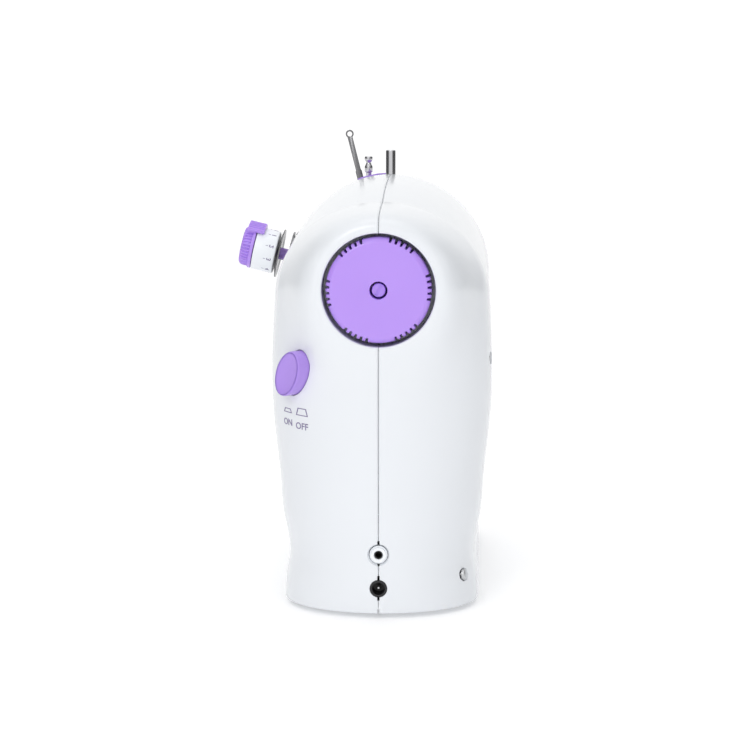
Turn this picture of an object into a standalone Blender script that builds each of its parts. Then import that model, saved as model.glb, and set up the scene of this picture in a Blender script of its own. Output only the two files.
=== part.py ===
"""A compact domestic sewing machine with a free-standing base, arm, head and handwheel.

Metres, +Z up, +X to the operator's right (the handwheel end), -Y towards the operator.
Sizes are written from the casing's parting plane, which runs from end to end; the finished
machine stands with the middle of its overall footprint over the origin, feet on Z = 0.
"""
import bpy
import bmesh
from math import cos, hypot, pi, radians, sin, sqrt
from mathutils import Vector

STAND = Vector((0, 0.0138, 0))  # from the parting plane to the middle of the footprint
GAP = 0.0003                 # running and assembly gap between neighbouring pieces
WALL = 0.0022                # casing wall

# Casing, seen from the front
LEFT_X = -0.0995             # left faces of the bed and the head
END_X = 0.100                # furthest point of the rounded right-hand end
NOSE_X = 0.060               # where the right-hand end starts to round off
FLOOR_Z = 0.0024             # underside of the casing
TOP_Z = 0.189                # crown of the arm
DOME_Z = 0.139               # where the arm's sides start to close over the top
BED_Z = 0.0593               # cloth plate level
HEAD_Z = 0.101               # underside of the head
ARM_Z = 0.122                # underside of the arm
HEAD_X = -0.047              # throat side of the head
COLUMN_X = 0.040             # throat side of the column

# Half depth of the casing at a few heights: flared foot, waist, bed edge and widest line
DEPTH_STATIONS = ((0.0024, 0.0437), (0.012, 0.0434), (0.026, 0.0415), (0.059, 0.0460),
                  (0.087, 0.0490), (0.108, 0.0497), (0.139, 0.0480))

SHAFT_Z = 0.145              # main shaft axis, on the parting plane
SHAFT_R = 0.003
BORE_R = 0.0033
LOWER_Z = 0.024              # lower shaft axis
WHEEL_R = 0.023
POCKET_R = 0.0247
POCKET_X = 0.082             # floor of the handwheel pocket
FACE_X = 0.0993              # outer face of the handwheel
NEEDLE_X = -0.074            # plane of the needle and presser bars
PRESSER_Y = 0.016
CRANK_R = 0.010              # throw of the crank pin
HOOK_Y = -0.0165             # axis of the rotary hook, in front of the needle
LEVER_X = -0.080             # plane of the take-up lever
LEVER_PIVOT = (0.015, 0.150)  # its pivot, as Y and Z
MOTOR_Y, MOTOR_Z = 0.022, 0.152
LIFTER_X, LIFTER_Z = -0.060, 0.110
SPINE_Y = (-0.026, -0.023)   # inner frame's upright plate
SPOOL_X = -0.038
GUIDE_X, GUIDE_Y = -0.060, -0.0118

# Thread tension unit: its axis leaves the head's front face, tilted up a little
TENSION_AT = Vector((-0.062, -0.0475, 0.146))
TENSION_AXIS = Vector((0, -cos(radians(13)), sin(radians(13))))

# Power button: on the rounded front right-hand corner
BUTTON_AT = Vector((0.0869, -0.0367, 0.1075))
BUTTON_AXIS = Vector((0.748, -0.664, 0)).normalized()

SMOOTH_ANGLE = radians(35)


def clear_scene():
    for item in list(bpy.data.objects):
        bpy.data.objects.remove(item, do_unlink=True)


def material(name, colour, roughness=0.4, metallic=0.0):
    found = bpy.data.materials.get(name)
    if found:
        return found
    made = bpy.data.materials.new(name)
    made.use_nodes = True
    shader = made.node_tree.nodes["Principled BSDF"]
    shader.inputs["Base Color"].default_value = (*colour, 1)
    shader.inputs["Roughness"].default_value = roughness
    shader.inputs["Metallic"].default_value = metallic
    return made


def white_plastic():
    return material("white_plastic", (0.86, 0.88, 0.91), 0.25)


def lilac_plastic():
    return material("lilac_plastic", (0.50, 0.36, 0.86), 0.35)


def black_plastic():
    return material("black_plastic", (0.02, 0.02, 0.022), 0.45)


def nylon():
    return material("nylon", (0.75, 0.74, 0.68), 0.5)


def chrome():
    return material("chrome", (0.80, 0.80, 0.82), 0.12, 1.0)


def steel():
    return material("steel", (0.56, 0.57, 0.58), 0.3, 1.0)


def cast_metal():
    return material("cast_metal", (0.42, 0.43, 0.45), 0.5, 1.0)


def rubber():
    return material("rubber", (0.03, 0.03, 0.03), 0.8)


def board_green():
    return material("board_green", (0.02, 0.20, 0.08), 0.5)


def clear_lens():
    return material("clear_lens", (0.9, 0.92, 0.95), 0.1)


def finish(name, mesh_data, finish_material, at=(0, 0, 0), turn=None):
    """Make an object of a bmesh and shade its round faces smooth."""
    mesh = bpy.data.meshes.new(name)
    bmesh.ops.recalc_face_normals(mesh_data, faces=mesh_data.faces)
    mesh_data.to_mesh(mesh)
    mesh_data.free()
    mesh.shade_smooth()
    mesh.set_sharp_from_angle(angle=SMOOTH_ANGLE)
    item = bpy.data.objects.new(name, mesh)
    item.location = Vector(at) + STAND
    if turn is not None:
        item.rotation_mode = "QUATERNION"
        item.rotation_quaternion = turn
    if finish_material:
        mesh.materials.append(finish_material)
    bpy.context.collection.objects.link(item)
    return item


def box(name, low, high, finish_material=None):
    shape = bmesh.new()
    bmesh.ops.create_cube(shape, size=1)
    low, high = Vector(low), Vector(high)
    size = high - low
    bmesh.ops.scale(shape, vec=size, verts=shape.verts)
    return finish(name, shape, finish_material, (low + high) / 2)


def turned(name, profile, finish_material, at=(0, 0, 0), axis=(1, 0, 0), sides=16, phase=0):
    """Turn a profile of (radius, distance along the axis) points about an axis through at.

    A profile that never touches the axis is closed into a ring. phase turns the first point
    by that share of a side, which keeps two pieces on one axis from sharing corners.
    """
    shape = bmesh.new()
    first = 2 * pi * phase / sides
    points = [shape.verts.new((radius * cos(first), radius * sin(first), along))
              for radius, along in profile]
    pairs = list(zip(points, points[1:]))
    if min(radius for radius, _ in profile) > 0:
        pairs.append((points[-1], points[0]))
    edges = [shape.edges.new(pair) for pair in pairs]
    bmesh.ops.spin(shape, geom=points + edges, cent=(0, 0, 0), axis=(0, 0, 1),
                   angle=2 * pi, steps=sides, use_merge=True)
    bmesh.ops.remove_doubles(shape, verts=shape.verts, dist=0.000005)
    turn = Vector((0, 0, 1)).rotation_difference(Vector(axis))
    return finish(name, shape, finish_material, at, turn)


def rod(name, radius, start, end, finish_material=None, sides=16, phase=0):
    """A plain round bar between two points."""
    start, end = Vector(start), Vector(end)
    length = (end - start).length
    profile = ((0, 0), (radius, 0), (radius, length), (0, length))
    return turned(name, profile, finish_material, start, end - start, sides, phase)


def to_world(axis, across, up, along):
    """Place a point of an outline: its plane is the one square to the named axis."""
    if axis == "X":
        return Vector((along, across, up))
    if axis == "Y":
        return Vector((across, along, up))
    return Vector((across, up, along))


def prism(name, outline, axis, start, end, finish_material=None, hole=None, at=(0, 0, 0)):
    """Extrude an outline along an axis; hole is a second outline with as many points."""
    shape = bmesh.new()
    origin = Vector(at)
    ring = [shape.verts.new(to_world(axis, a, b, start) - origin) for a, b in outline]
    if hole is None:
        faces = [shape.faces.new(ring)]
    else:
        inner = [shape.verts.new(to_world(axis, a, b, start) - origin) for a, b in hole]
        count = len(ring)
        faces = []
        for i in range(count):
            j = (i + 1) % count
            faces.append(shape.faces.new((ring[i], ring[j], inner[j], inner[i])))
    made = bmesh.ops.extrude_face_region(shape, geom=faces, use_keep_orig=True)["geom"]
    moved = [part for part in made if isinstance(part, bmesh.types.BMVert)]
    bmesh.ops.translate(shape, vec=to_world(axis, 0, 0, end - start), verts=moved)
    return finish(name, shape, finish_material, origin)


def arc(centre, radius, start, end, steps):
    """Points on an arc, angles in degrees."""
    points = []
    for i in range(steps + 1):
        angle = radians(start + (end - start) * i / steps)
        points.append((centre[0] + radius * cos(angle), centre[1] + radius * sin(angle)))
    return points


def stadium(first, second, radius, steps=5):
    """Outline of a straight strap with round ends about two points."""
    lean = Vector((second[0] - first[0], second[1] - first[1])).angle_signed(Vector((1, 0)))
    lean = lean * 180 / pi
    return (arc(second, radius, lean - 90, lean + 90, steps)
            + arc(first, radius, lean + 90, lean + 270, steps))


def rounded_box_outline(low, high, radius, steps=4):
    (left, bottom), (right, top) = low, high
    return (arc((right - radius, bottom + radius), radius, -90, 0, steps)
            + arc((right - radius, top - radius), radius, 0, 90, steps)
            + arc((left + radius, top - radius), radius, 90, 180, steps)
            + arc((left + radius, bottom + radius), radius, 180, 270, steps))


def as_guide(item):
    item.hide_render = True
    item.display_type = "WIRE"


def combine(target, tool, operation):
    step = target.modifiers.new(operation.lower(), "BOOLEAN")
    step.operation = operation
    step.solver = "EXACT"
    step.object = tool
    as_guide(tool)
    return target


def cut(target, *tools):
    for tool in tools:
        combine(target, tool, "DIFFERENCE")
    return target


def join(target, *tools):
    for tool in tools:
        combine(target, tool, "UNION")
    return target


def keep_inside(target, tool):
    return combine(target, tool, "INTERSECT")


# ---- casing -------------------------------------------------------------------------

def half_depth(z):
    """Half depth of the casing at a height, easing from one station to the next."""
    stations = DEPTH_STATIONS
    if z <= stations[0][0]:
        return stations[0][1]
    for (low, first), (high, second) in zip(stations, stations[1:]):
        if z <= high:
            t = (z - low) / (high - low)
            return first + (second - first) * t * t * (3 - 2 * t)
    return stations[-1][1]


def crown(x):
    """Height of the arm's top line: highest over the head, falling towards the wheel."""
    return TOP_Z - 1.1 * (x + 0.025) ** 2


def right_end(z):
    """How far the rounded end reaches: it follows the waist a little."""
    return END_X - 0.35 * (0.0497 - half_depth(z))


def on_casing(x, side, z, inset):
    """Carry a point of a plain block to the casing: side runs from -1 to 1 across the depth."""
    u = max(0.0, (x - NOSE_X) / (END_X - inset - NOSE_X))
    w = max(0.0, (z - DOME_Z) / (TOP_Z - inset - DOME_Z))
    uu, vv, ww = u * u, side * side, w * w
    across = (half_depth(z) - inset) * side * sqrt(1 - uu / 2 - ww / 2 + uu * ww / 3)
    if u > 0:
        reach = right_end(z) - inset - NOSE_X
        x = NOSE_X + reach * u * sqrt(1 - vv / 2 - ww / 2 + vv * ww / 3)
    if w > 0:
        rise = crown(min(x, NOSE_X)) - inset - DOME_Z
        z = DOME_Z + rise * w * sqrt(1 - uu / 2 - vv / 2 + uu * vv / 3)
    return Vector((x, across, z))


def body_block(name, inset):
    """The casing's outer form as a closed solid, or that form shrunk by a wall."""
    left, right = LEFT_X + inset, END_X - inset
    head, column = HEAD_X - inset, COLUMN_X + inset
    floor, bed, top = FLOOR_Z + inset, BED_Z - inset, TOP_Z - inset
    under_head, under_arm = HEAD_Z + inset, ARM_Z + inset
    outline = [(left, floor), (right, floor), (right, top), (left, top), (left, under_head),
               (head, under_head), (head, under_arm), (column, under_arm), (column, bed),
               (left, bed)]
    shape = bmesh.new()
    ring = [shape.verts.new((x, -1, z)) for x, z in outline]
    face = shape.faces.new(ring)
    made = bmesh.ops.extrude_face_region(shape, geom=[face], use_keep_orig=True)["geom"]
    moved = [part for part in made if isinstance(part, bmesh.types.BMVert)]
    bmesh.ops.translate(shape, vec=(0, 2, 0), verts=moved)
    bmesh.ops.recalc_face_normals(shape, faces=shape.faces)
    across = [-0.66, -0.33, 0, 0.33, 0.66]
    along = [-0.079, head, -0.018, 0.011, column, NOSE_X]
    along += [NOSE_X + (right - NOSE_X) * step for step in (0.33, 0.66)]
    upward = [0.012, 0.026, 0.042, bed, 0.080, under_head, under_arm, DOME_Z]
    upward += [DOME_Z + (top - DOME_Z) * step for step in (0.33, 0.66)]
    for normal, places in (((0, 1, 0), across), ((1, 0, 0), along), ((0, 0, 1), upward)):
        for place in places:
            everything = list(shape.verts) + list(shape.edges) + list(shape.faces)
            bmesh.ops.bisect_plane(shape, geom=everything, dist=0.000001,
                                   plane_co=Vector(normal) * place, plane_no=normal)
    for vert in shape.verts:
        vert.co = on_casing(vert.co.x, vert.co.y, vert.co.z, inset)
    round_throat(shape, inset)
    round_left_faces(shape, left, inset)
    return finish(name, shape, white_plastic())


def bevel(shape, edges, width, segments):
    bmesh.ops.bevel(shape, geom=edges, offset=width, offset_type="OFFSET", affect="EDGES",
                    segments=segments, profile=0.5, material=-1, clamp_overlap=True)


def round_throat(shape, inset):
    """Fillet the inside corners of the throat, which run from front to back."""
    bmesh.ops.recalc_face_normals(shape, faces=shape.faces)
    corners = ((HEAD_X - inset, ARM_Z + inset), (COLUMN_X + inset, ARM_Z + inset),
               (COLUMN_X + inset, BED_Z - inset))
    edges = []
    for edge in shape.edges:
        first, second = (vert.co for vert in edge.verts)
        for x, z in corners:
            near = all(hypot(p.x - x, p.z - z) < 0.0004 for p in (first, second))
            if near:
                edges.append(edge)
    bevel(shape, edges, 0.007 if inset < WALL else 0.003, 3)


def round_left_faces(shape, left, inset):
    """Give the left faces of the bed and the head a broad round edge."""
    caps = [face for face in shape.faces if abs(face.calc_center_median().x - left) < 0.00001]
    bmesh.ops.dissolve_faces(shape, faces=caps, use_verts=False)
    edges = []
    for face in shape.faces:
        if abs(face.calc_center_median().x - left) < 0.00001 and abs(face.normal.x) > 0.99:
            edges += [edge for edge in face.edges if edge not in edges]
    bevel(shape, edges, 0.008 - inset, 3)


def wheel_pocket():
    """The round recess of the handwheel with the hole for its shaft."""
    floor, mouth = POCKET_X - 0.070, 0.050
    profile = ((0, 0.005), (0.0036, 0.005), (0.0036, floor), (POCKET_R, floor),
               (POCKET_R, mouth), (0, mouth))
    return turned("wheel_pocket", profile, None, (0.070, 0, SHAFT_Z), (1, 0, 0), 40, 0.5)


def casing_cavity():
    """Inside of the casing, with the wheel pocket and the thick plate seat left standing."""
    cavity = body_block("cavity", WALL)
    pocket_wall = rod("pocket_wall", POCKET_R + WALL - 0.0002, (POCKET_X - WALL, 0, SHAFT_Z),
                      (END_X + 0.02, 0, SHAFT_Z), None, 40, 0.25)
    plate_seat = box("plate_seat", (-0.0965, -0.043, 0.0545), (-0.050, 0.043, 0.060))
    return cut(cavity, pocket_wall, plate_seat)


def casing_openings():
    """Every hole and recess that is cut through the casing's wall."""
    top = TOP_Z + 0.01
    under = FLOOR_Z - 0.01
    recess = box("insert_recess", (-0.0883, -0.0168, 0.170), (-0.0457, -0.0009, top))
    cut(recess, body_block("insert_seat", 0.0012))
    tools = [
        wheel_pocket(),
        recess,
        box("lever_slot", (-0.0822, -0.047, 0.158), (-0.0778, -0.0125, top)),
        rod("spool_hole", 0.0027, (SPOOL_X, 0, 0.175), (SPOOL_X, 0, top)),
        rod("guide_hole", 0.0017, (GUIDE_X, GUIDE_Y, 0.175), (GUIDE_X, GUIDE_Y, top), None, 16),
        rod("needle_bar_hole", 0.0048, (NEEDLE_X, 0, 0.098), (NEEDLE_X, 0, 0.106)),
        rod("presser_bar_hole", 0.0044, (NEEDLE_X, PRESSER_Y, 0.098),
            (NEEDLE_X, PRESSER_Y, 0.106)),
        box("lifter_slot", (-0.0645, 0.023, 0.098), (-0.0500, 0.029, 0.106)),
        rod("lamp_hole", 0.0043, (-0.060, -0.016, 0.098), (-0.060, -0.016, 0.106)),
        box("plate_recess", (-0.092, -0.0081, 0.0573), (-0.0546, 0.024, 0.070)),
        box("cover_channel", (-0.092, -0.060, 0.0573), (-0.0560, -0.0080, 0.070)),
        box("feed_window", (-0.0800, -0.003, 0.050), (-0.0680, 0.019, 0.062)),
        rod("bobbin_well", 0.0153, (NEEDLE_X, HOOK_Y, 0.050), (NEEDLE_X, HOOK_Y, 0.062), None,
            32),
        box("battery_window", (-0.0325, -0.0300, under), (0.0413, 0.0300, 0.0048)),
        rod("pedal_jack_hole", 0.0043, (0.085, 0, 0.0285), (0.110, 0, 0.0285)),
        rod("power_jack_hole", 0.0039, (0.085, 0, 0.0135), (0.110, 0, 0.0135)),
        rod("tension_hole", 0.0034, TENSION_AT - TENSION_AXIS * 0.008,
            TENSION_AT + TENSION_AXIS * 0.004),
        button_shape("button_hole", 0.0004, -0.006, 0.012),
    ]
    for x, y in foot_places():
        tools.append(rod("foot_hole", 0.0023, (x, y, under), (x, y, 0.006), None, 16))
    for name, start, end in screw_places():
        inward = (Vector(end) - Vector(start)).normalized()
        seat = Vector(start) - inward * 0.012
        tools.append(rod(name + "_recess", 0.0030, seat, Vector(start) + inward * 0.0040))
    return tools


def foot_places():
    return [(x, y) for x in (-0.084, 0.064) for y in (-0.031, 0.031)]


def screw_places():
    """Case screws: driven from the rear, each with its outer and inner end on the surface."""
    return [
        ("case_screw_lower_right", (0.078, 0.0387, 0.016), (0.078, 0.027, 0.016)),
        ("case_screw_lower_left", (-0.080, 0.0430, 0.016), (-0.080, 0.027, 0.016)),
        ("case_screw_upper_right", (0.066, 0.0490, 0.112), (0.066, 0.034, 0.112)),
        ("case_screw_upper_left", (-0.085, 0.0485, 0.125), (-0.085, 0.034, 0.125)),
    ]


def case_screws():
    for name, start, end in screw_places():
        inward = (Vector(end) - Vector(start)).normalized()
        profile = ((0, 0.0006), (0.0026, 0.0006), (0.0026, 0.0025), (0.0013, 0.0025),
                   (0.0013, 0.0036), (0, 0.0036))
        turned(name, profile, steel(), Vector(start), inward, 16)


def shells():
    casing = body_block("casing", 0)
    join(casing, wheel_boss())
    cut(casing, casing_cavity(), *casing_openings())
    as_guide(casing)
    far = 0.2
    for name, low, high in (("front_shell", -far, -GAP / 2), ("rear_shell", GAP / 2, far)):
        half = box(name, (-far, low, -far), (far, high, 2 * far), white_plastic())
        keep_inside(half, casing)


def wheel_boss():
    """The round housing that carries the handwheel pocket out of the rounded end."""
    radius = POCKET_R + WALL + 0.0003
    profile = ((0, 0), (radius, 0), (radius, 0.0288), (radius - 0.001, 0.0296), (0, 0.0296))
    return turned("wheel_boss", profile, None, (0.070, 0, SHAFT_Z), (1, 0, 0), 40)


def top_insert():
    """Lilac cover strip let into the top of the head, with the take-up lever's slot."""
    strip = box("top_insert", (-0.088, -0.0165, 0.170), (-0.046, -0.0012, 0.199),
                lilac_plastic())
    keep_inside(strip, body_block("insert_top", -0.0008))
    cut(strip, body_block("insert_underside", 0.0009))
    cut(strip, box("insert_slot", (-0.0822, -0.047, 0.158), (-0.0778, -0.0125, 0.2)))
    cut(strip, rod("insert_hole", 0.0017, (GUIDE_X, GUIDE_Y, 0.175), (GUIDE_X, GUIDE_Y, 0.2)))


def feet():
    names = ("foot_left_front", "foot_left_rear", "foot_right_front", "foot_right_rear")
    profile = ((0, 0), (0.0045, 0), (0.0050, 0.0006), (0.0050, 0.0021), (0.0020, 0.0021),
               (0.0020, 0.0056), (0, 0.0056))
    for name, (x, y) in zip(names, foot_places()):
        turned(name, profile, rubber(), (x, y, 0), (0, 0, 1), 16)


def battery_bay():
    tray = box("battery_box", (-0.035, -0.033, 0.0050), (0.044, 0.033, 0.0206),
               black_plastic())
    cut(tray, box("battery_space", (-0.033, -0.031, 0.0), (0.042, 0.031, 0.0192)))
    door = box("battery_door", (-0.026, -0.0297, 0.0026), (0.041, 0.0297, 0.0044),
               white_plastic())
    return tray, door


# ---- frame and drive ----------------------------------------------------------------

def main_frame():
    """Cast inner frame: an upright plate with lugs for the shafts, bars and motor."""
    front, back = SPINE_Y
    outline = [(-0.0778, 0.165), (-0.0778, 0.1046), (-0.056, 0.1046), (-0.056, 0.128),
               (0.046, 0.128), (0.046, 0.034), (-0.084, 0.034), (-0.084, 0.0166),
               (-0.056, 0.0166), (-0.056, 0.0212), (0.077, 0.0212), (0.077, 0.165)]
    frame = prism("main_frame", outline, "Y", front, back, cast_metal())
    lap = back - 0.001
    lugs = [
        ((0.070, lap, 0.135), (0.077, 0.010, 0.155)),
        ((-0.044, lap, 0.135), (-0.037, 0.010, 0.155)),
        ((0.0702, lap, 0.0170), (0.0768, 0.006, 0.0310)),
        ((-0.062, lap, 0.0170), (-0.0562, 0.006, 0.0310)),
        ((-0.080, lap, 0.0168), (-0.069, -0.0125, 0.0202)),
        ((0.0434, lap, 0.130), (0.0460, 0.034, 0.1635)),
        ((-0.0778, lap, 0.156), (-0.0706, 0.0215, 0.160)),
        ((-0.0778, 0.0100, 0.146), (-0.0706, 0.0215, 0.157)),
        ((-0.0778, lap, 0.1048), (-0.056, 0.0235, 0.1080)),
        ((-0.0640, 0.0200, 0.1050), (-0.0560, 0.0232, 0.1145)),
    ]
    for i, (low, high) in enumerate(lugs):
        join(frame, box(f"frame_lug_{i}", low, high))
    join(frame, rod("lever_pin", 0.0018, (-0.083, *LEVER_PIVOT), (-0.075, *LEVER_PIVOT)))
    join(frame, rod("lifter_pin", 0.0016, (LIFTER_X, 0.022, LIFTER_Z),
                    (LIFTER_X, 0.0295, LIFTER_Z), None, 16))
    cut(frame, rod("bush_hole_right", 0.0065, (0.060, 0, SHAFT_Z), (0.080, 0, SHAFT_Z)))
    cut(frame, rod("bush_hole_left", 0.0065, (-0.050, 0, SHAFT_Z), (-0.030, 0, SHAFT_Z)))
    cut(frame, rod("motor_shaft_clear", 0.0055, (0.040, 0, SHAFT_Z), (0.050, 0, SHAFT_Z)))
    cut(frame, rod("motor_nose_hole", 0.0053, (0.040, MOTOR_Y, MOTOR_Z),
                   (0.050, MOTOR_Y, MOTOR_Z)))
    cut(frame, rod("lower_hole_right", BORE_R, (0.060, 0, LOWER_Z), (0.080, 0, LOWER_Z)))
    cut(frame, rod("lower_hole_left", BORE_R, (-0.070, 0, LOWER_Z), (-0.050, 0, LOWER_Z)))
    cut(frame, rod("hook_hole", 0.0028, (NEEDLE_X, HOOK_Y, 0.015), (NEEDLE_X, HOOK_Y, 0.022)))
    cut(frame, rod("needle_bar_bore", 0.0028, (NEEDLE_X, 0, 0.100), (NEEDLE_X, 0, 0.165)))
    cut(frame, rod("presser_bar_bore", BORE_R, (NEEDLE_X, PRESSER_Y, 0.100),
                   (NEEDLE_X, PRESSER_Y, 0.165)))


def ring_profile(inner, outer, start, end):
    return ((inner, start), (outer, start), (outer, end), (inner, end))


def shaft_bushes():
    for name, x in (("shaft_bush_left", -0.0445), ("shaft_bush_right", 0.0695)):
        profile = ((BORE_R, -0.0012), (0.0080, -0.0012), (0.0080, 0.0002), (0.0062, 0.0002),
                   (0.0062, 0.0072), (BORE_R, 0.0072))
        turned(name, profile, material("bronze", (0.55, 0.38, 0.18), 0.35, 1.0),
               (x, 0, SHAFT_Z), (1, 0, 0))


def press_teeth(gear, teeth, tip, depth):
    """Push every second pair of rim points in, which leaves square-shouldered teeth."""
    for vert in gear.data.vertices:
        radius = hypot(vert.co.x, vert.co.y)
        if radius < tip - depth / 2:
            continue
        turn = Vector((vert.co.x, vert.co.y)).angle_signed(Vector((1, 0))) / (2 * pi)
        step = round(turn * teeth * 4) % 4
        if step in (2, 3):
            shrink = (tip - depth) / tip
            vert.co.x *= shrink
            vert.co.y *= shrink


def toothed(name, teeth, bore, tip, width, finish_material, at, axis):
    profile = ring_profile(bore, tip, 0, width)
    gear = turned(name, profile, finish_material, at, axis, teeth * 4)
    press_teeth(gear, teeth, tip, 0.0011)
    return gear


def belt_pulley(name, z):
    profile = ((BORE_R, 0), (0.0112, 0), (0.0112, 0.0010), (0.0090, 0.0010), (0.0090, 0.0070),
               (0.0112, 0.0070), (0.0112, 0.0080), (BORE_R, 0.0080))
    return turned(name, profile, nylon(), (0.058, 0, z), (1, 0, 0))


def drive_train():
    rod("main_shaft", SHAFT_R, (-0.0597, 0, SHAFT_Z), (0.088, 0, SHAFT_Z), steel())
    toothed("drive_gear", 19, BORE_R, 0.0190, 0.005, nylon(), (0.0485, 0, SHAFT_Z), (1, 0, 0))
    belt_pulley("upper_pulley", SHAFT_Z)
    belt_pulley("lower_pulley", LOWER_Z)
    outer = stadium((0, LOWER_Z), (0, SHAFT_Z), 0.0105, 10)
    inner = stadium((0, LOWER_Z), (0, SHAFT_Z), 0.0093, 10)
    prism("timing_belt", outer, "X", 0.0594, 0.0646, rubber(), hole=inner)
    rod("lower_shaft", SHAFT_R, (-0.0815, 0, LOWER_Z), (0.0785, 0, LOWER_Z), steel())
    toothed("hook_drive_gear", 12, BORE_R, 0.0105, 0.010, nylon(), (-0.079, 0, LOWER_Z),
            (1, 0, 0))
    crank = rod("crank_disc", 0.014, (-0.064, 0, SHAFT_Z), (-0.060, 0, SHAFT_Z), steel())
    pin_z = SHAFT_Z + CRANK_R
    join(crank, rod("crank_pin", 0.0025, (-0.067, 0, pin_z), (-0.062, 0, pin_z)))


def motor():
    profile = ((0, 0), (0.0125, 0), (0.0135, 0.001), (0.0135, 0.035), (0.0125, 0.036),
               (0.0050, 0.036), (0.0050, 0.0385), (0, 0.0385))
    turned("motor", profile, steel(), (0.0068, MOTOR_Y, MOTOR_Z), (1, 0, 0))
    at = (0.0456, MOTOR_Y, MOTOR_Z)
    pinion = ((0, 0), (0.0012, 0), (0.0012, 0.0030), (0.0037, 0.0030), (0.0037, 0.0084),
              (0, 0.0084))
    item = turned("motor_pinion", pinion, steel(), at, (1, 0, 0), 32)
    press_teeth(item, 8, 0.0037, 0.0008)


def handwheel():
    face = FACE_X - 0.084
    profile = ((BORE_R, 0), (0.0215, 0), (WHEEL_R, 0.0015), (WHEEL_R, face - 0.0018),
               (0.0224, face - 0.0007), (0.0210, face), (0.0039, face), (0.0039, 0.0043),
               (BORE_R, 0.0043))
    turned("handwheel", profile, lilac_plastic(), (0.084, 0, SHAFT_Z), (1, 0, 0), 40)
    rod("winder_spindle", 0.0030, (0.0886, 0, SHAFT_Z), (0.0943, 0, SHAFT_Z), lilac_plastic())


# ---- needle, presser and take-up ----------------------------------------------------

def needle_group():
    bar = rod("needle_bar", 0.0025, (NEEDLE_X, 0, 0.0953), (NEEDLE_X, 0, 0.1810), chrome())
    join(bar, rod("bar_collar", 0.0036, (NEEDLE_X, 0, 0.129), (NEEDLE_X, 0, 0.137)))
    join(bar, rod("wrist_pin", 0.0015, (-0.0735, 0, 0.133), (-0.0672, 0, 0.133), None, 16))
    clamp = ((0.0011, 0), (0.0040, 0), (0.0040, 0.0080), (0.0028, 0.0080), (0.0028, 0.0027),
             (0.0011, 0.0027))
    turned("needle_clamp", clamp, chrome(), (NEEDLE_X, 0, 0.0922), (0, 0, 1))
    screw = ((0, 0), (0.0012, 0), (0.0012, 0.0020), (0.0028, 0.0020), (0.0028, 0.0052),
             (0, 0.0052))
    turned("needle_clamp_screw", screw, chrome(), (-0.0697, 0, 0.0945), (1, 0, 0), 16)
    needle = ((0, 0), (0.0003, 0.0025), (0.0005, 0.006), (0.0005, 0.018), (0.0008, 0.020),
              (0.0008, 0.0284), (0, 0.0284))
    turned("needle", needle, steel(), (NEEDLE_X, 0, 0.066), (0, 0, 1), 12)


def crank_link():
    """Link from the crank pin to the needle bar; the crank pin stops just short of it."""
    top, low = SHAFT_Z + CRANK_R, 0.133
    link = prism("crank_link", stadium((0, low), (0, top), 0.0036), "X", -0.0698, -0.0673,
                 steel(), at=(0, 0, low))
    cut(link, rod("wrist_hole", 0.0018, (-0.072, 0, low), (-0.066, 0, low), None, 16))


def take_up_lever():
    """A bent strip from its pivot forwards, then up through the slot to the thread eye."""
    pivot_y, pivot_z = LEVER_PIVOT
    low, high = LEVER_X - 0.0008, LEVER_X + 0.0008
    knee, waist, eye = (-0.0115, 0.1620), (-0.0177, 0.1880), (-0.0223, 0.2070)
    lever = prism("take_up_lever", stadium(knee, waist, 0.0016), "X", low, high, chrome(),
                  at=(0, pivot_y, pivot_z))
    parts = (
        prism("lever_hub", stadium((pivot_y, pivot_z - 0.0001), (pivot_y, pivot_z), 0.0042),
              "X", low, high),
        prism("lever_root", stadium((pivot_y, pivot_z), knee, 0.0022), "X", low, high),
        prism("lever_top", stadium(waist, eye, 0.0014), "X", low, high),
        prism("lever_eye", stadium(eye, (eye[0] - 0.0001, eye[1]), 0.0021), "X", low, high),
    )
    join(lever, *parts)
    cut(lever, rod("lever_bore", 0.0021, (-0.082, pivot_y, pivot_z), (-0.078, pivot_y, pivot_z)))
    cut(lever, rod("thread_eye", 0.0012, (-0.082, *eye), (-0.078, *eye), None, 12))


def presser_group():
    at = (NEEDLE_X, PRESSER_Y)
    bar = rod("presser_bar", SHAFT_R, (*at, 0.0752), (*at, 0.1700), chrome())
    join(bar, rod("lift_collar", 0.0037, (*at, 0.1180), (*at, 0.1215)))
    join(bar, box("lift_arm", (-0.0745, 0.0172, 0.1182), (-0.0570, 0.0300, 0.1212)))
    spring = ring_profile(0.0033, 0.0039, 0.1220, 0.1456)
    turned("presser_spring", spring, steel(), (*at, 0), (0, 0, 1))
    shank = box("presser_shank", (-0.078, 0.0115, 0.0690), (-0.070, 0.0205, 0.0850), chrome())
    join(shank, box("ankle", (-0.0760, 0.0045, 0.0690), (-0.0720, 0.0125, 0.0730)))
    join(shank, box("ankle_tongue", (-0.0760, 0.0040, 0.0640), (-0.0720, 0.0082, 0.0710)))
    cut(shank, rod("shank_bore", BORE_R, (*at, 0.0749), (*at, 0.0860)))
    cut(shank, rod("ankle_bore", 0.0012, (-0.077, 0.0060, 0.0655), (-0.071, 0.0060, 0.0655),
                   None, 12))
    lifter()
    presser_foot()


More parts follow.
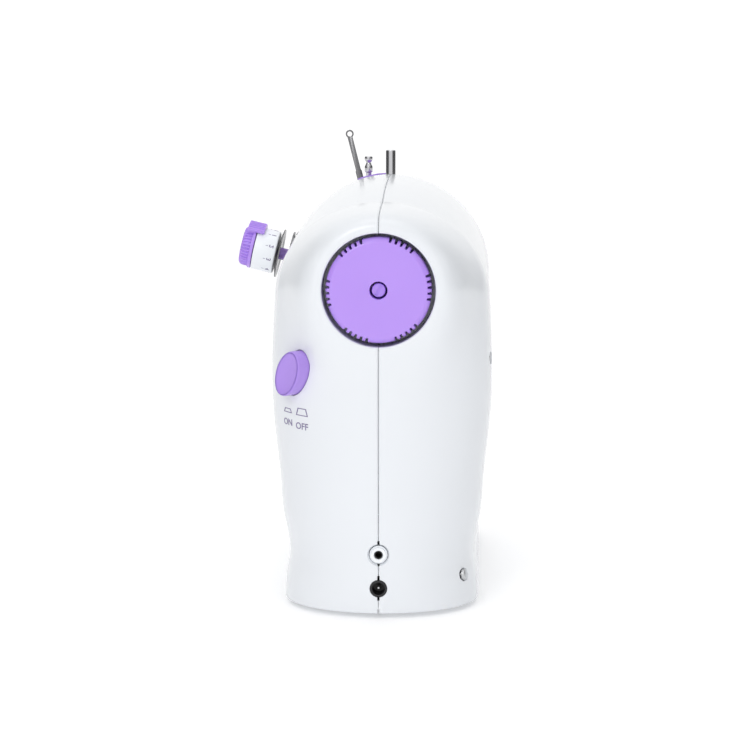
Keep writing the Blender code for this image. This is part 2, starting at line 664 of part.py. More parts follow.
def presser_foot():
    """Sole plate with two ears and the pin it rocks on."""
    outline = rounded_box_outline((-0.080, -0.0120), (-0.068, 0.0150), 0.002)
    foot = prism("presser_foot", outline, "Z", 0.0608, 0.0624, chrome(),
                 at=(NEEDLE_X, 0.006, 0.0655))
    for i, (low, high) in enumerate(((-0.0779, -0.0763), (-0.0717, -0.0701))):
        join(foot, box(f"foot_ear_{i}", (low, 0.0042, 0.0615), (high, 0.0078, 0.0672)))
    join(foot, rod("foot_pin", 0.0009, (-0.0775, 0.006, 0.0655), (-0.0705, 0.006, 0.0655),
                   None, 12))
    cut(foot, prism("needle_slot", stadium((NEEDLE_X, -0.0025), (NEEDLE_X, 0.0015), 0.0016), "Z",
                    0.055, 0.064))


def lifter():
    """Presser foot lever: hub on the frame's pin and a handle that hangs below the head."""
    hub = prism("presser_lifter", stadium((LIFTER_X, LIFTER_Z - 0.0001), (LIFTER_X, LIFTER_Z),
                                          0.0048), "Y", 0.0240, 0.0280, white_plastic(),
                at=(LIFTER_X, 0.026, LIFTER_Z))
    join(hub, prism("lifter_handle", stadium((LIFTER_X, 0.088), (LIFTER_X, LIFTER_Z), 0.0022),
                    "Y", 0.0240, 0.0280))
    join(hub, prism("lifter_pad", stadium((LIFTER_X, 0.0865), (LIFTER_X, 0.0915), 0.0034), "Y",
                    0.0240, 0.0280))
    cut(hub, rod("lifter_bore", 0.0019, (LIFTER_X, 0.023, LIFTER_Z), (LIFTER_X, 0.030, LIFTER_Z),
                 None, 16))


# ---- bed ----------------------------------------------------------------------------

def hook_group():
    at = (NEEDLE_X, HOOK_Y, 0)
    profile = ((0, 0.0172), (0.0025, 0.0172), (0.0025, 0.0214), (0.0052, 0.0214),
               (0.0052, 0.0266), (0.0035, 0.0266), (0.0035, 0.036), (0.0140, 0.036),
               (0.0140, 0.050), (0.0129, 0.050), (0.0129, 0.038), (0, 0.038))
    turned("rotary_hook", profile, steel(), at, (0, 0, 1), 24)
    case = ((0, 0.0386), (0.0125, 0.0386), (0.0125, 0.0505), (0.0110, 0.0505),
            (0.0110, 0.0402), (0.0026, 0.0402), (0.0026, 0.0500), (0, 0.0500))
    turned("bobbin_case", case, black_plastic(), at, (0, 0, 1), 24)
    spool = ((0.0030, 0.0408), (0.0102, 0.0408), (0.0102, 0.0418), (0.0045, 0.0418),
             (0.0045, 0.0510), (0.0102, 0.0510), (0.0102, 0.0520), (0.0030, 0.0520))
    turned("bobbin", spool, material("clear_plastic", (0.85, 0.87, 0.9), 0.15), at, (0, 0, 1),
           20)


def plate_group():
    plate = box("needle_plate", (-0.0917, -0.0077, 0.0576), (-0.0549, 0.0237, BED_Z), chrome())
    cut(plate, prism("needle_hole", stadium((-0.0755, 0), (-0.0725, 0), 0.0014, 6), "Z", 0.055,
                     0.062))
    for i, (low, high) in enumerate(((-0.0792, -0.0754), (-0.0726, -0.0688))):
        cut(plate, box(f"feed_slot_{i}", (low, 0.0026, 0.055), (high, 0.0176, 0.062)))
    box("bobbin_cover", (-0.0916, -0.0430, 0.0576), (-0.0564, -0.0084, BED_Z),
        material("smoked_plastic", (0.30, 0.32, 0.36), 0.12))
    dog = box("feed_dog", (-0.0790, 0.0040, 0.0510), (-0.0690, 0.0162, 0.0545), steel())
    for i, (low, high) in enumerate(((-0.0788, -0.0758), (-0.0722, -0.0692))):
        join(dog, box(f"feed_row_{i}", (low, 0.0042, 0.0540), (high, 0.0160, 0.0589)))


# ---- thread path --------------------------------------------------------------------

def along_tension(distance):
    return TENSION_AT + TENSION_AXIS * distance


def tension_unit():
    post = ((0, -0.009), (0.003, -0.009), (0.003, 0.0008), (0.006, 0.0008), (0.006, 0.0020),
            (0.003, 0.0020), (0.003, 0.0096), (0.0018, 0.0096), (0.0018, 0.0262), (0, 0.0262))
    turned("tension_post", post, lilac_plastic(), TENSION_AT, TENSION_AXIS)
    for name, start, flare in (("inner_tension_disc", 0.0032, 0.0006),
                               ("outer_tension_disc", 0.0092, -0.0006)):
        disc = ((BORE_R, start), (0.0095, start), (0.0122, start + flare),
                (0.0122, start + flare + 0.0007), (0.0095, start + 0.0007),
                (BORE_R, start + 0.0007))
        turned(name, disc, chrome(), TENSION_AT, TENSION_AXIS, 24)
    turned("tension_drum", ring_profile(0.0022, 0.0106, 0.0106, 0.0217), white_plastic(),
           TENSION_AT, TENSION_AXIS, 24)
    tension_knob()
    check_spring()


def tension_knob():
    profile = ((0, 0.0266), (0.0022, 0.0266), (0.0022, 0.0221), (0.0106, 0.0221),
               (0.0106, 0.0243), (0.0098, 0.0243), (0.0098, 0.0275), (0.0088, 0.0284),
               (0, 0.0287))
    knob = turned("tension_knob", profile, lilac_plastic(), TENSION_AT, TENSION_AXIS, 24)
    outline = arc((0, 0), 0.0126, 46, 134, 10) + arc((0, 0), 0.0110, 134, 46, 10)
    tab = prism("knob_tab", outline, "Z", 0.0182, 0.0236)
    bridge_outline = arc((0, 0), 0.0126, 46, 134, 10) + arc((0, 0), 0.0090, 134, 46, 10)
    bridge = prism("tab_bridge", bridge_outline, "Z", 0.0224, 0.0268)
    for item in (tab, bridge):
        item.rotation_euler = (radians(90 - 13), 0, 0)
        item.location = TENSION_AT + STAND
    join(knob, tab, bridge)


def check_spring():
    """One turn of wire round the post, ending in an arm that reaches up beside the discs."""
    wire = bpy.data.curves.new("check_spring", "CURVE")
    wire.dimensions = "3D"
    wire.bevel_depth = 0.0004
    wire.bevel_resolution = 1
    wire.use_fill_caps = True
    points = []
    for i in range(13):
        angle = radians(-60 + 25 * i)
        points.append((0.0039 * sin(angle), 0.0039 * cos(angle), 0.0026))
    points += [(-0.0046, 0.0080, 0.0026), (0.0006, 0.0124, 0.0022), (0.0026, 0.0112, 0.0026)]
    line = wire.splines.new("POLY")
    line.points.add(len(points) - 1)
    for place, (x, up, along) in zip(line.points, points):
        place.co = (x, up, along, 1)
    item = bpy.data.objects.new("check_spring", wire)
    item.location = TENSION_AT + STAND
    item.rotation_euler = (radians(90 - 13), 0, 0)
    wire.materials.append(chrome())
    bpy.context.collection.objects.link(item)


def thread_posts():
    profile = ((0, 0), (0.0024, 0), (0.0024, 0.0385), (0.0019, 0.0392), (0, 0.0392))
    turned("spool_pin", profile, chrome(), (SPOOL_X, 0, 0.1614), (0, 0, 1), 20)
    post = ((0, 0), (0.0014, 0), (0.0014, 0.0090), (0.0020, 0.0090), (0.0020, 0.0118),
            (0.0013, 0.0126), (0.0013, 0.0138), (0.0020, 0.0146), (0.0020, 0.0160),
            (0.0014, 0.0166), (0, 0.0166))
    turned("thread_guide_post", post, chrome(), (GUIDE_X, GUIDE_Y, 0.1800), (0, 0, 1), 20)


# ---- electrics ----------------------------------------------------------------------

def button_shape(name, extra, start, end, finish_material=None):
    """A leaning oval, extruded along the button's axis from start to end."""
    outline = []
    steps = 32
    lean = radians(25)
    for i in range(steps):
        angle = 2 * pi * i / steps
        long_side, short_side = 0.0107 + extra, 0.0066 + extra
        up, side = long_side * cos(angle), short_side * sin(angle)
        outline.append((side * cos(lean) + up * sin(lean), up * cos(lean) - side * sin(lean)))
    item = prism(name, outline, "Y", -end, -start, finish_material)
    item.rotation_mode = "QUATERNION"
    item.rotation_quaternion = Vector((0, -1, 0)).rotation_difference(BUTTON_AXIS)
    item.location = BUTTON_AT + STAND
    return item


def electrics():
    button_shape("power_button", 0, -0.0045, 0.0060, lilac_plastic())
    across = Vector((-BUTTON_AXIS.y, BUTTON_AXIS.x, 0))
    board = box("circuit_board", (-0.0008, -0.010, -0.014), (0.0008, 0.010, 0.014),
                board_green())
    board.location = BUTTON_AT - BUTTON_AXIS * 0.0125 + across * 0.001 + STAND
    board.rotation_mode = "QUATERNION"
    board.rotation_quaternion = Vector((1, 0, 0)).rotation_difference(BUTTON_AXIS)
    jack = ((0, 0), (0.0040, 0), (0.0040, 0.0125), (0.0036, 0.0135), (0.0019, 0.0135),
            (0.0019, 0.0040), (0, 0.0040))
    turned("pedal_jack", jack, white_plastic(), (0.0845, 0, 0.0285), (1, 0, 0))
    barrel = ((0, 0), (0.0036, 0), (0.0036, 0.0128), (0.0029, 0.0128), (0.0029, 0.0050),
              (0.0008, 0.0050), (0.0008, 0.0110), (0, 0.0110))
    turned("power_jack", barrel, black_plastic(), (0.0850, 0, 0.0135), (1, 0, 0))
    lens = ((0, 0), (0.0030, 0), (0.0040, 0.0010), (0.0040, 0.0042), (0, 0.0042))
    turned("sewing_lamp", lens, clear_lens(), (-0.060, -0.016, 0.1000), (0, 0, 1))


def main():
    clear_scene()
    shells()
    top_insert()
    feet()
    case_screws()
    battery_bay()
    main_frame()
    shaft_bushes()
    drive_train()
    motor()
    handwheel()
    needle_group()
    crank_link()
    take_up_lever()
    presser_group()
    hook_group()
    plate_group()
    tension_unit()
    thread_posts()
    electrics()


main()
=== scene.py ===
"""A compact domestic sewing machine, finished around its fixed working frame.

Metres, +Z up, +X to the operator's right (the handwheel end), -Y towards the operator.
Run as a script it registers its operators, makes every piece in order and sets the stage.
"""
from math import atan2, cos, degrees, hypot, pi, radians, sin, sqrt

import bmesh
import bpy
from mathutils import Matrix, Quaternion, Vector
from mathutils.bvhtree import BVHTree


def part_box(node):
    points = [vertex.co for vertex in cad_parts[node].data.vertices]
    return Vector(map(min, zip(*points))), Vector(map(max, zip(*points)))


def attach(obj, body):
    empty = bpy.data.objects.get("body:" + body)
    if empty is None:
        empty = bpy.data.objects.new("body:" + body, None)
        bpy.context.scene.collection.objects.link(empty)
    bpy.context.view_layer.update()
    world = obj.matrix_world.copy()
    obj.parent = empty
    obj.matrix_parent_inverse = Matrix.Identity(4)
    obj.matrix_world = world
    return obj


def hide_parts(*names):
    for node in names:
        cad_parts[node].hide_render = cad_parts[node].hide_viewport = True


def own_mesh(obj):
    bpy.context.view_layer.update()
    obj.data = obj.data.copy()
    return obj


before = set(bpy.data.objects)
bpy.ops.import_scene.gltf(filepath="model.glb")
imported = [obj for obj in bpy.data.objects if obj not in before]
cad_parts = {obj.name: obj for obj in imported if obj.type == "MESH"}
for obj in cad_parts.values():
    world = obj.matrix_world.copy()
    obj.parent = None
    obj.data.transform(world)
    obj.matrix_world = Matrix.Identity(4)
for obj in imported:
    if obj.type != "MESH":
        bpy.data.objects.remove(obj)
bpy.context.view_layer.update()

bl_info = {
    "name": "Compact sewing machine",
    "version": (1, 0, 0),
    "blender": (4, 5, 0),
    "location": "View3D > Sidebar > Sewing",
    "description": "Casing, controls and working parts of a small household sewing machine",
    "category": "Object",
}

# ---- driving places, shared with the frame ------------------------------------------

LEFT_X, NOSE_X, END_X = -0.0995, 0.060, 0.100
HEAD_X, COLUMN_X = -0.047, 0.040
FLOOR_Z, BED_Z, HEAD_Z, ARM_Z, DOME_Z, TOP_Z = 0.0024, 0.0593, 0.101, 0.122, 0.139, 0.189
DEPTHS = ((0.0024, 0.0437), (0.012, 0.0433), (0.025, 0.0416), (0.043, 0.0447), (0.060, 0.0460),
          (0.087, 0.0488), (0.110, 0.0495), (0.139, 0.0480))
WIDEST = 0.0494
WHEEL_LOW, WHEEL_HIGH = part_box("handwheel")
SHAFT_Z = (WHEEL_LOW.z + WHEEL_HIGH.z) / 2
STAND = Vector((0, (WHEEL_LOW.y + WHEEL_HIGH.y) / 2, 0))  # pieces are made round the parting plane
NEEDLE_X = -0.074
PRESSER_Y = 0.016
TENSION_AT = Vector((-0.062, -0.0475, 0.146))
TENSION_TILT = radians(13)
TENSION_AXIS = Vector((0, -cos(TENSION_TILT), sin(TENSION_TILT)))
BUTTON_AT = Vector((0.0869, -0.0367, 0.1075))
BUTTON_AXIS = Vector((0.748, -0.664, 0)).normalized()
X_AXIS, Y_AXIS, Z_AXIS = Vector((1, 0, 0)), Vector((0, 1, 0)), Vector((0, 0, 1))
MERGE = 0.000002
FAR = 0.3


# ---- settings a user would change ---------------------------------------------------

def length(name, description, default):
    return bpy.props.FloatProperty(name=name, description=description, default=default,
                                   min=0.0, precision=5, unit="LENGTH")


def colour(name, description, default):
    return bpy.props.FloatVectorProperty(name=name, description=description, default=default,
                                         size=3, min=0.0, max=1.0, subtype="COLOR")


class CasingSizes(bpy.types.PropertyGroup):
    wall: length("Wall", "Thickness of the moulded casing", 0.0022)
    seam_gap: length("Seam gap", "Gap between the front and the rear shell", 0.0002)
    groove_width: length("Groove width", "Width of the rounded groove along the seam", 0.0014)
    groove_depth: length("Groove depth", "Depth of the groove along the seam", 0.0006)
    edge_round: length("Edge rounding", "Rounding of the bed, head and arm edges", 0.0012)
    end_round: length("End rounding", "Rounding of the left faces of bed and head", 0.008)
    throat_fillet: length("Throat fillet", "Fillet in the inside corners of the throat", 0.007)
    lip: length("Wheel lip", "Flat rim left round the handwheel recess", 0.0024)
    lip_blend: length("Lip blend", "How far the rim takes to run into the casing", 0.0170)
    recess: length("Recess radius", "Radius of the handwheel recess", 0.0247)
    recess_floor: length("Recess floor", "Where the floor of the recess lies", 0.082)


class WheelSizes(bpy.types.PropertyGroup):
    notch_groups: bpy.props.IntProperty(
        name="Notch groups", description="Groups of grip notches round the rim", default=6, min=1)
    notches: bpy.props.IntProperty(
        name="Notches", description="Notches in each group", default=5, min=1)
    notch_pitch: bpy.props.FloatProperty(
        name="Notch pitch", description="Angle between two notches of a group",
        default=radians(6.67), subtype="ANGLE")
    notch_width: bpy.props.FloatProperty(
        name="Notch width", description="Angle that one notch takes", default=radians(2.6),
        subtype="ANGLE")
    notch_floor: length("Notch floor", "Radius at the bottom of a notch", 0.0212)
    socket: length("Centre hole", "Radius of the hole for the bobbin winding pin", 0.0039)


class DialSizes(bpy.types.PropertyGroup):
    ridges: bpy.props.IntProperty(
        name="Ridges", description="Grip ridges round the tension dial", default=38, min=8)
    ridge_height: length("Ridge height", "How far a ridge stands out", 0.00045)
    knob_radius: length("Knob radius", "Radius over the ridges", 0.0098)
    drum_radius: length("Drum radius", "Radius of the numbered drum", 0.0106)


class FinishColours(bpy.types.PropertyGroup):
    body: colour("Casing", "White moulded casing", (0.80, 0.825, 0.86))
    lilac: colour("Lilac", "Handwheel, dial and insert", (0.465, 0.28, 0.86))
    button: colour("Button", "Power button", (0.43, 0.27, 0.80))
    print: colour("Print", "Switch marks on the casing", (0.20, 0.17, 0.30))
    black: colour("Black", "Sockets and battery tray", (0.012, 0.012, 0.014))
    rubber: colour("Rubber", "Feet and belt", (0.025, 0.025, 0.027))
    chrome: colour("Chrome", "Plated metal", (0.56, 0.56, 0.58))
    steel: colour("Steel", "Bare ground steel", (0.55, 0.56, 0.57))
    cast: colour("Casting", "Inner frame", (0.40, 0.41, 0.43))
    bronze: colour("Bronze", "Sintered bushes", (0.50, 0.33, 0.15))
    nylon: colour("Nylon", "Gears and pulleys", (0.72, 0.70, 0.62))
    board: colour("Board", "Circuit board", (0.01, 0.16, 0.06))


def sizes(kind):
    return getattr(bpy.context.scene, "sewing_" + kind)


# ---- materials ----------------------------------------------------------------------

class Recipe:
    """A material under construction: a Principled shader and the nodes that feed it."""

    def __init__(self, name):
        self.material = bpy.data.materials.new(name)
        self.material.use_nodes = True
        self.nodes = self.material.node_tree.nodes
        self.links = self.material.node_tree.links
        self.shader = self.nodes["Principled BSDF"]
        self.place = self.nodes.new("ShaderNodeTexCoord").outputs["Object"]

    def set(self, **values):
        for name, value in values.items():
            self.shader.inputs[name.replace("_", " ").title()].default_value = value

    def stretched(self, scale):
        mapping = self.nodes.new("ShaderNodeMapping")
        mapping.inputs["Scale"].default_value = scale
        self.links.new(self.place, mapping.inputs["Vector"])
        return mapping.outputs["Vector"]

    def noise(self, scale, detail=3.0, where=None):
        node = self.nodes.new("ShaderNodeTexNoise")
        node.inputs["Scale"].default_value = scale
        node.inputs["Detail"].default_value = detail
        self.links.new(where or self.place, node.inputs["Vector"])
        return node.outputs["Fac"]

    def spread(self, value, low, high, start=0.3, end=0.7):
        node = self.nodes.new("ShaderNodeMapRange")
        node.inputs["From Min"].default_value = start
        node.inputs["From Max"].default_value = end
        node.inputs["To Min"].default_value = low
        node.inputs["To Max"].default_value = high
        self.links.new(value, node.inputs["Value"])
        return node.outputs["Result"]

    def tint(self, value, dark, light):
        node = self.nodes.new("ShaderNodeValToRGB")
        node.color_ramp.elements[0].color = (*dark, 1)
        node.color_ramp.elements[1].color = (*light, 1)
        node.color_ramp.elements[0].position = 0.3
        node.color_ramp.elements[1].position = 0.7
        self.links.new(value, node.inputs["Fac"])
        self.links.new(node.outputs["Color"], self.shader.inputs["Base Color"])

    def rough(self, value):
        self.links.new(value, self.shader.inputs["Roughness"])

    def bump(self, value, strength, height):
        node = self.nodes.new("ShaderNodeBump")
        node.inputs["Strength"].default_value = strength
        node.inputs["Distance"].default_value = height
        self.links.new(value, node.inputs["Height"])
        self.links.new(node.outputs["Normal"], self.shader.inputs["Normal"])


def shaded(tone, factor):
    return tuple(min(1.0, channel * factor) for channel in tone)


def moulded(name, tone, roughness, gloss=0.0, grain=900.0, depth=0.00002, subsurface=0.0):
    """Injection-moulded plastic: a fine skin, faint mottling and uneven polish."""
    made = Recipe(name)
    made.tint(made.noise(16.0, 2.0), shaded(tone, 0.99), shaded(tone, 1.006))
    made.rough(made.spread(made.noise(45.0, 2.0), roughness * 0.94, roughness * 1.08, 0.2, 0.8))
    made.bump(made.noise(grain, 2.0), 0.25, depth)
    made.set(coat_weight=gloss, coat_roughness=0.08, subsurface_weight=subsurface)
    made.shader.inputs["Subsurface Scale"].default_value = 0.002
    return made.material


def plated(name, tone, roughness, smear=0.05):
    """Nickel or chrome plate: mirror bright, with faint wiping marks."""
    made = Recipe(name)
    made.tint(made.noise(60.0, 3.0), shaded(tone, 0.94), tone)
    fine = made.noise(700.0, 3.0, made.stretched((1.0, 1.0, 0.12)))
    made.rough(made.spread(fine, roughness, roughness + smear))
    made.bump(fine, 0.05, 0.00001)
    made.set(metallic=1.0)
    return made.material


def ground_steel(name, tone, roughness=0.28):
    """Turned or ground steel with fine lines across its length."""
    made = Recipe(name)
    lines = made.noise(1500.0, 2.0, made.stretched((1.0, 0.15, 0.15)))
    made.tint(made.noise(45.0, 4.0), shaded(tone, 0.85), tone)
    made.rough(made.spread(lines, roughness * 0.8, roughness * 1.4))
    made.bump(lines, 0.15, 0.00002)
    made.set(metallic=1.0)
    return made.material


def cast_alloy(name, tone):
    """Die-cast alloy with a sandy skin."""
    made = Recipe(name)
    made.tint(made.noise(90.0, 6.0), shaded(tone, 0.8), shaded(tone, 1.1))
    made.rough(made.spread(made.noise(260.0, 4.0), 0.42, 0.62))
    made.bump(made.noise(650.0, 5.0), 0.5, 0.0001)
    made.set(metallic=1.0)
    return made.material


def moulded_rubber(name, tone):
    made = Recipe(name)
    made.tint(made.noise(140.0, 5.0), shaded(tone, 0.8), shaded(tone, 1.3))
    made.rough(made.spread(made.noise(300.0, 4.0), 0.65, 0.85))
    made.bump(made.noise(1100.0, 4.0), 0.4, 0.00005)
    return made.material


def clear_moulding(name, tone, roughness=0.06):
    made = Recipe(name)
    made.tint(made.noise(50.0, 2.0), shaded(tone, 0.97), tone)
    made.rough(made.spread(made.noise(200.0, 3.0), roughness * 0.7, roughness * 1.5))
    made.set(transmission_weight=0.85)
    made.shader.inputs["IOR"].default_value = 1.5
    return made.material


def printed_ink(name, tone):
    made = Recipe(name)
    made.tint(made.noise(900.0, 3.0), shaded(tone, 0.9), shaded(tone, 1.25))
    made.rough(made.spread(made.noise(600.0, 2.0), 0.45, 0.6))
    return made.material


def finishes():
    """Every finish of the machine, made once."""
    tone = sizes("finish")
    recipes = {
        "white_plastic": lambda n: moulded(n, tone.body, 0.24, 0.35),
        "lilac_plastic": lambda n: moulded(n, tone.lilac, 0.26, 0.25, subsurface=0.05),
        "button_plastic": lambda n: moulded(n, tone.button, 0.34, 0.1),
        # the casing white lightened by a tenth: painted light, so the numbered drum looks as bright
        # as under the top light; the pedal socket shares this finish
        "drum_plastic": lambda n: moulded(n, shaded(tone.body, 1.1), 0.38),
        "black_plastic": lambda n: moulded(n, tone.black, 0.38),
        "smoked_plastic": lambda n: clear_moulding(n, (0.32, 0.34, 0.38)),
        "clear_plastic": lambda n: clear_moulding(n, (0.88, 0.90, 0.92)),
        "lamp_lens": lambda n: clear_moulding(n, (0.95, 0.96, 0.97), 0.03),
        "nylon": lambda n: moulded(n, tone.nylon, 0.5, 0.0, 500.0, 0.00004),
        "chrome": lambda n: plated(n, tone.chrome, 0.07),
        # the plain chrome darkened to a third: painted shade, standing in for the dark reflections on
        # the take-up lever, the pressure discs and the check spring
        "painted_shade_chrome": lambda n: plated(n, shaded(tone.chrome, 0.33), 0.13, 0.12),
        "steel": lambda n: ground_steel(n, tone.steel),
        "needle_steel": lambda n: plated(n, tone.chrome, 0.12),
        "cast_metal": lambda n: cast_alloy(n, tone.cast),
        "bronze": lambda n: ground_steel(n, tone.bronze, 0.4),
        "rubber": lambda n: moulded_rubber(n, tone.rubber),
        "board_green": lambda n: moulded(n, tone.board, 0.35, 0.3, 300.0, 0.00003),
        "print": lambda n: printed_ink(n, tone.print),
    }
    for name, make in recipes.items():
        if "finish_" + name not in bpy.data.materials:
            make("finish_" + name)


def finish(name):
    return bpy.data.materials["finish_" + name]


# ---- shape helpers ------------------------------------------------------------------

def eased(profile, radius, steps=3):
    """Round the corners of an open outline of (radius, along) points."""
    points = [Vector(point) for point in profile]
    made = [points[0]]
    for before, corner, after in zip(points, points[1:], points[2:]):
        back, onward = before - corner, after - corner
        reach = min(radius, back.length * 0.45, onward.length * 0.45)
        if corner.x == 0 or reach < MERGE:
            made.append(corner)
            continue
        first = corner + back.normalized() * reach
        last = corner + onward.normalized() * reach
        for i in range(steps + 1):
            t = i / steps
            made.append(first * (1 - t) ** 2 + corner * 2 * t * (1 - t) + last * t * t)
    made.append(points[-1])
    return made


def turned(profile, at=(0, 0, 0), axis=(0, 0, 1), steps=64, closed=False):
    """Spin a profile of (radius, along) points about an axis through at."""
    shape = bmesh.new()
    points = [shape.verts.new((radius, 0, along)) for radius, along in profile]
    pairs = list(zip(points, points[1:]))
    if closed:
        pairs.append((points[-1], points[0]))
    edges = [shape.edges.new(pair) for pair in pairs]
    bmesh.ops.spin(shape, geom=points + edges, cent=(0, 0, 0), axis=(0, 0, 1), angle=2 * pi,
                   steps=steps, use_merge=True)
    bmesh.ops.remove_doubles(shape, verts=shape.verts, dist=MERGE)
    bmesh.ops.recalc_face_normals(shape, faces=shape.faces)
    return stood(shape, at, axis)


def stood(shape, at=(0, 0, 0), axis=(0, 0, 1)):
    """Turn a shape made round +Z onto an axis, and carry it to its place."""
    turn = Z_AXIS.rotation_difference(Vector(axis).normalized())
    bmesh.ops.rotate(shape, cent=(0, 0, 0), matrix=turn.to_matrix(), verts=shape.verts)
    bmesh.ops.translate(shape, vec=Vector(at), verts=shape.verts)
    return shape


def rod(radius, start, end, steps=48, ease=0.0):
    start, end = Vector(start), Vector(end)
    high = (end - start).length
    profile = [(0, 0), (radius, 0), (radius, high), (0, high)]
    if ease:
        profile = eased(profile, ease)
    return turned(profile, start, end - start, steps)


def block(low, high, ease=0.0, segments=2):
    shape = bmesh.new()
    bmesh.ops.create_cube(shape, size=1)
    low, high = Vector(low), Vector(high)
    bmesh.ops.scale(shape, vec=high - low, verts=shape.verts)
    bmesh.ops.translate(shape, vec=(low + high) / 2, verts=shape.verts)
    if ease:
        soften(shape, ease, segments)
    return shape


def plate(outline, high, ease=0.0, segments=2):
    """An outline of (x, y) points, raised along +Z."""
    shape = bmesh.new()
    face = shape.faces.new([shape.verts.new((x, y, 0)) for x, y in outline])
    made = bmesh.ops.extrude_face_region(shape, geom=[face], use_keep_orig=True)["geom"]
    moved = [item for item in made if isinstance(item, bmesh.types.BMVert)]
    bmesh.ops.translate(shape, vec=(0, 0, high), verts=moved)
    bmesh.ops.recalc_face_normals(shape, faces=shape.faces)
    if ease:
        soften(shape, ease, segments)
    return shape


def bevel(shape, edges, width, segments, clamp=True):
    bmesh.ops.bevel(shape, geom=edges, offset=width, offset_type="OFFSET", affect="EDGES",
                    segments=segments, profile=0.5, material=-1, clamp_overlap=clamp)


def soften(shape, width, segments=2, angle=radians(32)):
    """Round every edge sharper than an angle."""
    edges = [edge for edge in shape.edges
             if len(edge.link_faces) == 2 and edge.calc_face_angle(0) > angle]
    bevel(shape, edges, width, segments)
    return shape


def carved(base, tools, operation="DIFFERENCE", crossing=False):
    """Cut, join or keep with closed shapes, which may cross each other within one tool."""
    holders = []
    for i, shape in enumerate([base, *tools]):
        mesh = bpy.data.meshes.new(f"carving_{i}")
        shape.to_mesh(mesh)
        shape.free()
        holder = bpy.data.objects.new(f"carving_{i}", mesh)
        bpy.context.scene.collection.objects.link(holder)
        holders.append(holder)
    for tool in holders[1:]:
        step = holders[0].modifiers.new(operation.lower(), "BOOLEAN")
        step.operation = operation
        step.solver = "EXACT"
        step.use_self = crossing
        step.object = tool
    bpy.context.view_layer.update()
    result = bmesh.new()
    evaluated = holders[0].evaluated_get(bpy.context.evaluated_depsgraph_get())
    result.from_mesh(evaluated.to_mesh())
    evaluated.to_mesh_clear()
    for holder in holders:
        mesh = holder.data
        bpy.data.objects.remove(holder, do_unlink=True)
        bpy.data.meshes.remove(mesh)
    return result


def gathered(*shapes):
    """Put several shapes that don't touch into one."""
    whole = bmesh.new()
    for shape in shapes:
        mesh = bpy.data.meshes.new("gathered")
        shape.to_mesh(mesh)
        whole.from_mesh(mesh)
        bpy.data.meshes.remove(mesh)
        shape.free()
    return whole


def from_frame(node, width=0.0, segments=2, angle=radians(32)):
    """A welded copy of a frame node, with its sharp edges eased."""
    shape = bmesh.new()
    shape.from_mesh(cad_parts[node].data)
    bmesh.ops.remove_doubles(shape, verts=shape.verts, dist=MERGE)
    bmesh.ops.translate(shape, vec=-STAND, verts=shape.verts)
    bmesh.ops.dissolve_limit(shape, angle_limit=radians(0.5), verts=shape.verts,
                             edges=shape.edges)
    if width:
        soften(shape, width, segments, angle)
    return shape


def piece(name, shape, material, body, replaces=(), angle=radians(32)):
    """Close a shape into a finished object that rides on a body of the frame."""
    bmesh.ops.remove_doubles(shape, verts=shape.verts, dist=MERGE)
    bmesh.ops.translate(shape, vec=STAND, verts=shape.verts)
    mesh = bpy.data.meshes.new(name)
    shape.to_mesh(mesh)
    shape.free()
    mesh.shade_smooth()
    mesh.set_sharp_from_angle(angle=angle)
    mesh.materials.append(finish(material))
    made = bpy.data.objects.new(name, mesh)
    bpy.context.scene.collection.objects.link(made)
    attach(made, body)
    if replaces:
        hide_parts(*replaces)
    return made


def dress(node, material):
    """Give a frame node that stays its finish."""
    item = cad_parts[node]
    if not item.material_slots:
        item.data.materials.append(finish(material))
    for place in item.material_slots:
        place.material = finish(material)


# ---- casing form --------------------------------------------------------------------

def half_depth(z):
    """Half depth of the casing at a height, on one smooth curve through its stations."""
    if z <= DEPTHS[0][0]:
        return DEPTHS[0][1]
    for i in range(len(DEPTHS) - 1):
        (low, first), (high, second) = DEPTHS[i], DEPTHS[i + 1]
        if z > high:
            continue
        before, after = DEPTHS[max(i - 1, 0)], DEPTHS[min(i + 2, len(DEPTHS) - 1)]
        span = high - low
        leaving = (second - before[1]) / (high - before[0]) * span
        arriving = (after[1] - first) / (after[0] - low) * span
        t = (z - low) / span
        value = (first * (2 * t ** 3 - 3 * t ** 2 + 1) + leaving * (t ** 3 - 2 * t ** 2 + t)
                 + second * (3 * t ** 2 - 2 * t ** 3) + arriving * (t ** 3 - t ** 2))
        return min(value, WIDEST)
    return DEPTHS[-1][1]


def crown(x):
    """Height of the arm's top line: highest over the head, falling towards the wheel."""
    return TOP_Z - 1.1 * (x + 0.025) ** 2


def right_end(z):
    """How far the rounded end reaches: it follows the waist a little."""
    return END_X - 0.35 * (0.0497 - half_depth(z))


def smooth(t):
    t = min(max(t, 0.0), 1.0)
    return t * t * (3 - 2 * t)


def wheel_rim(point, inset):
    """Swell the rounded end into a flat rim round the handwheel recess."""
    casing = sizes("casing")
    inner = casing.recess + casing.lip
    away = hypot(point.y, point.z - SHAFT_Z)
    pull = smooth((inner + casing.lip_blend - away) / casing.lip_blend)
    face = END_X - 0.0005 - inset
    if point.x > NOSE_X and point.x < face:
        point.x += (face - point.x) * pull * smooth((point.x - NOSE_X) / 0.018)
    return point


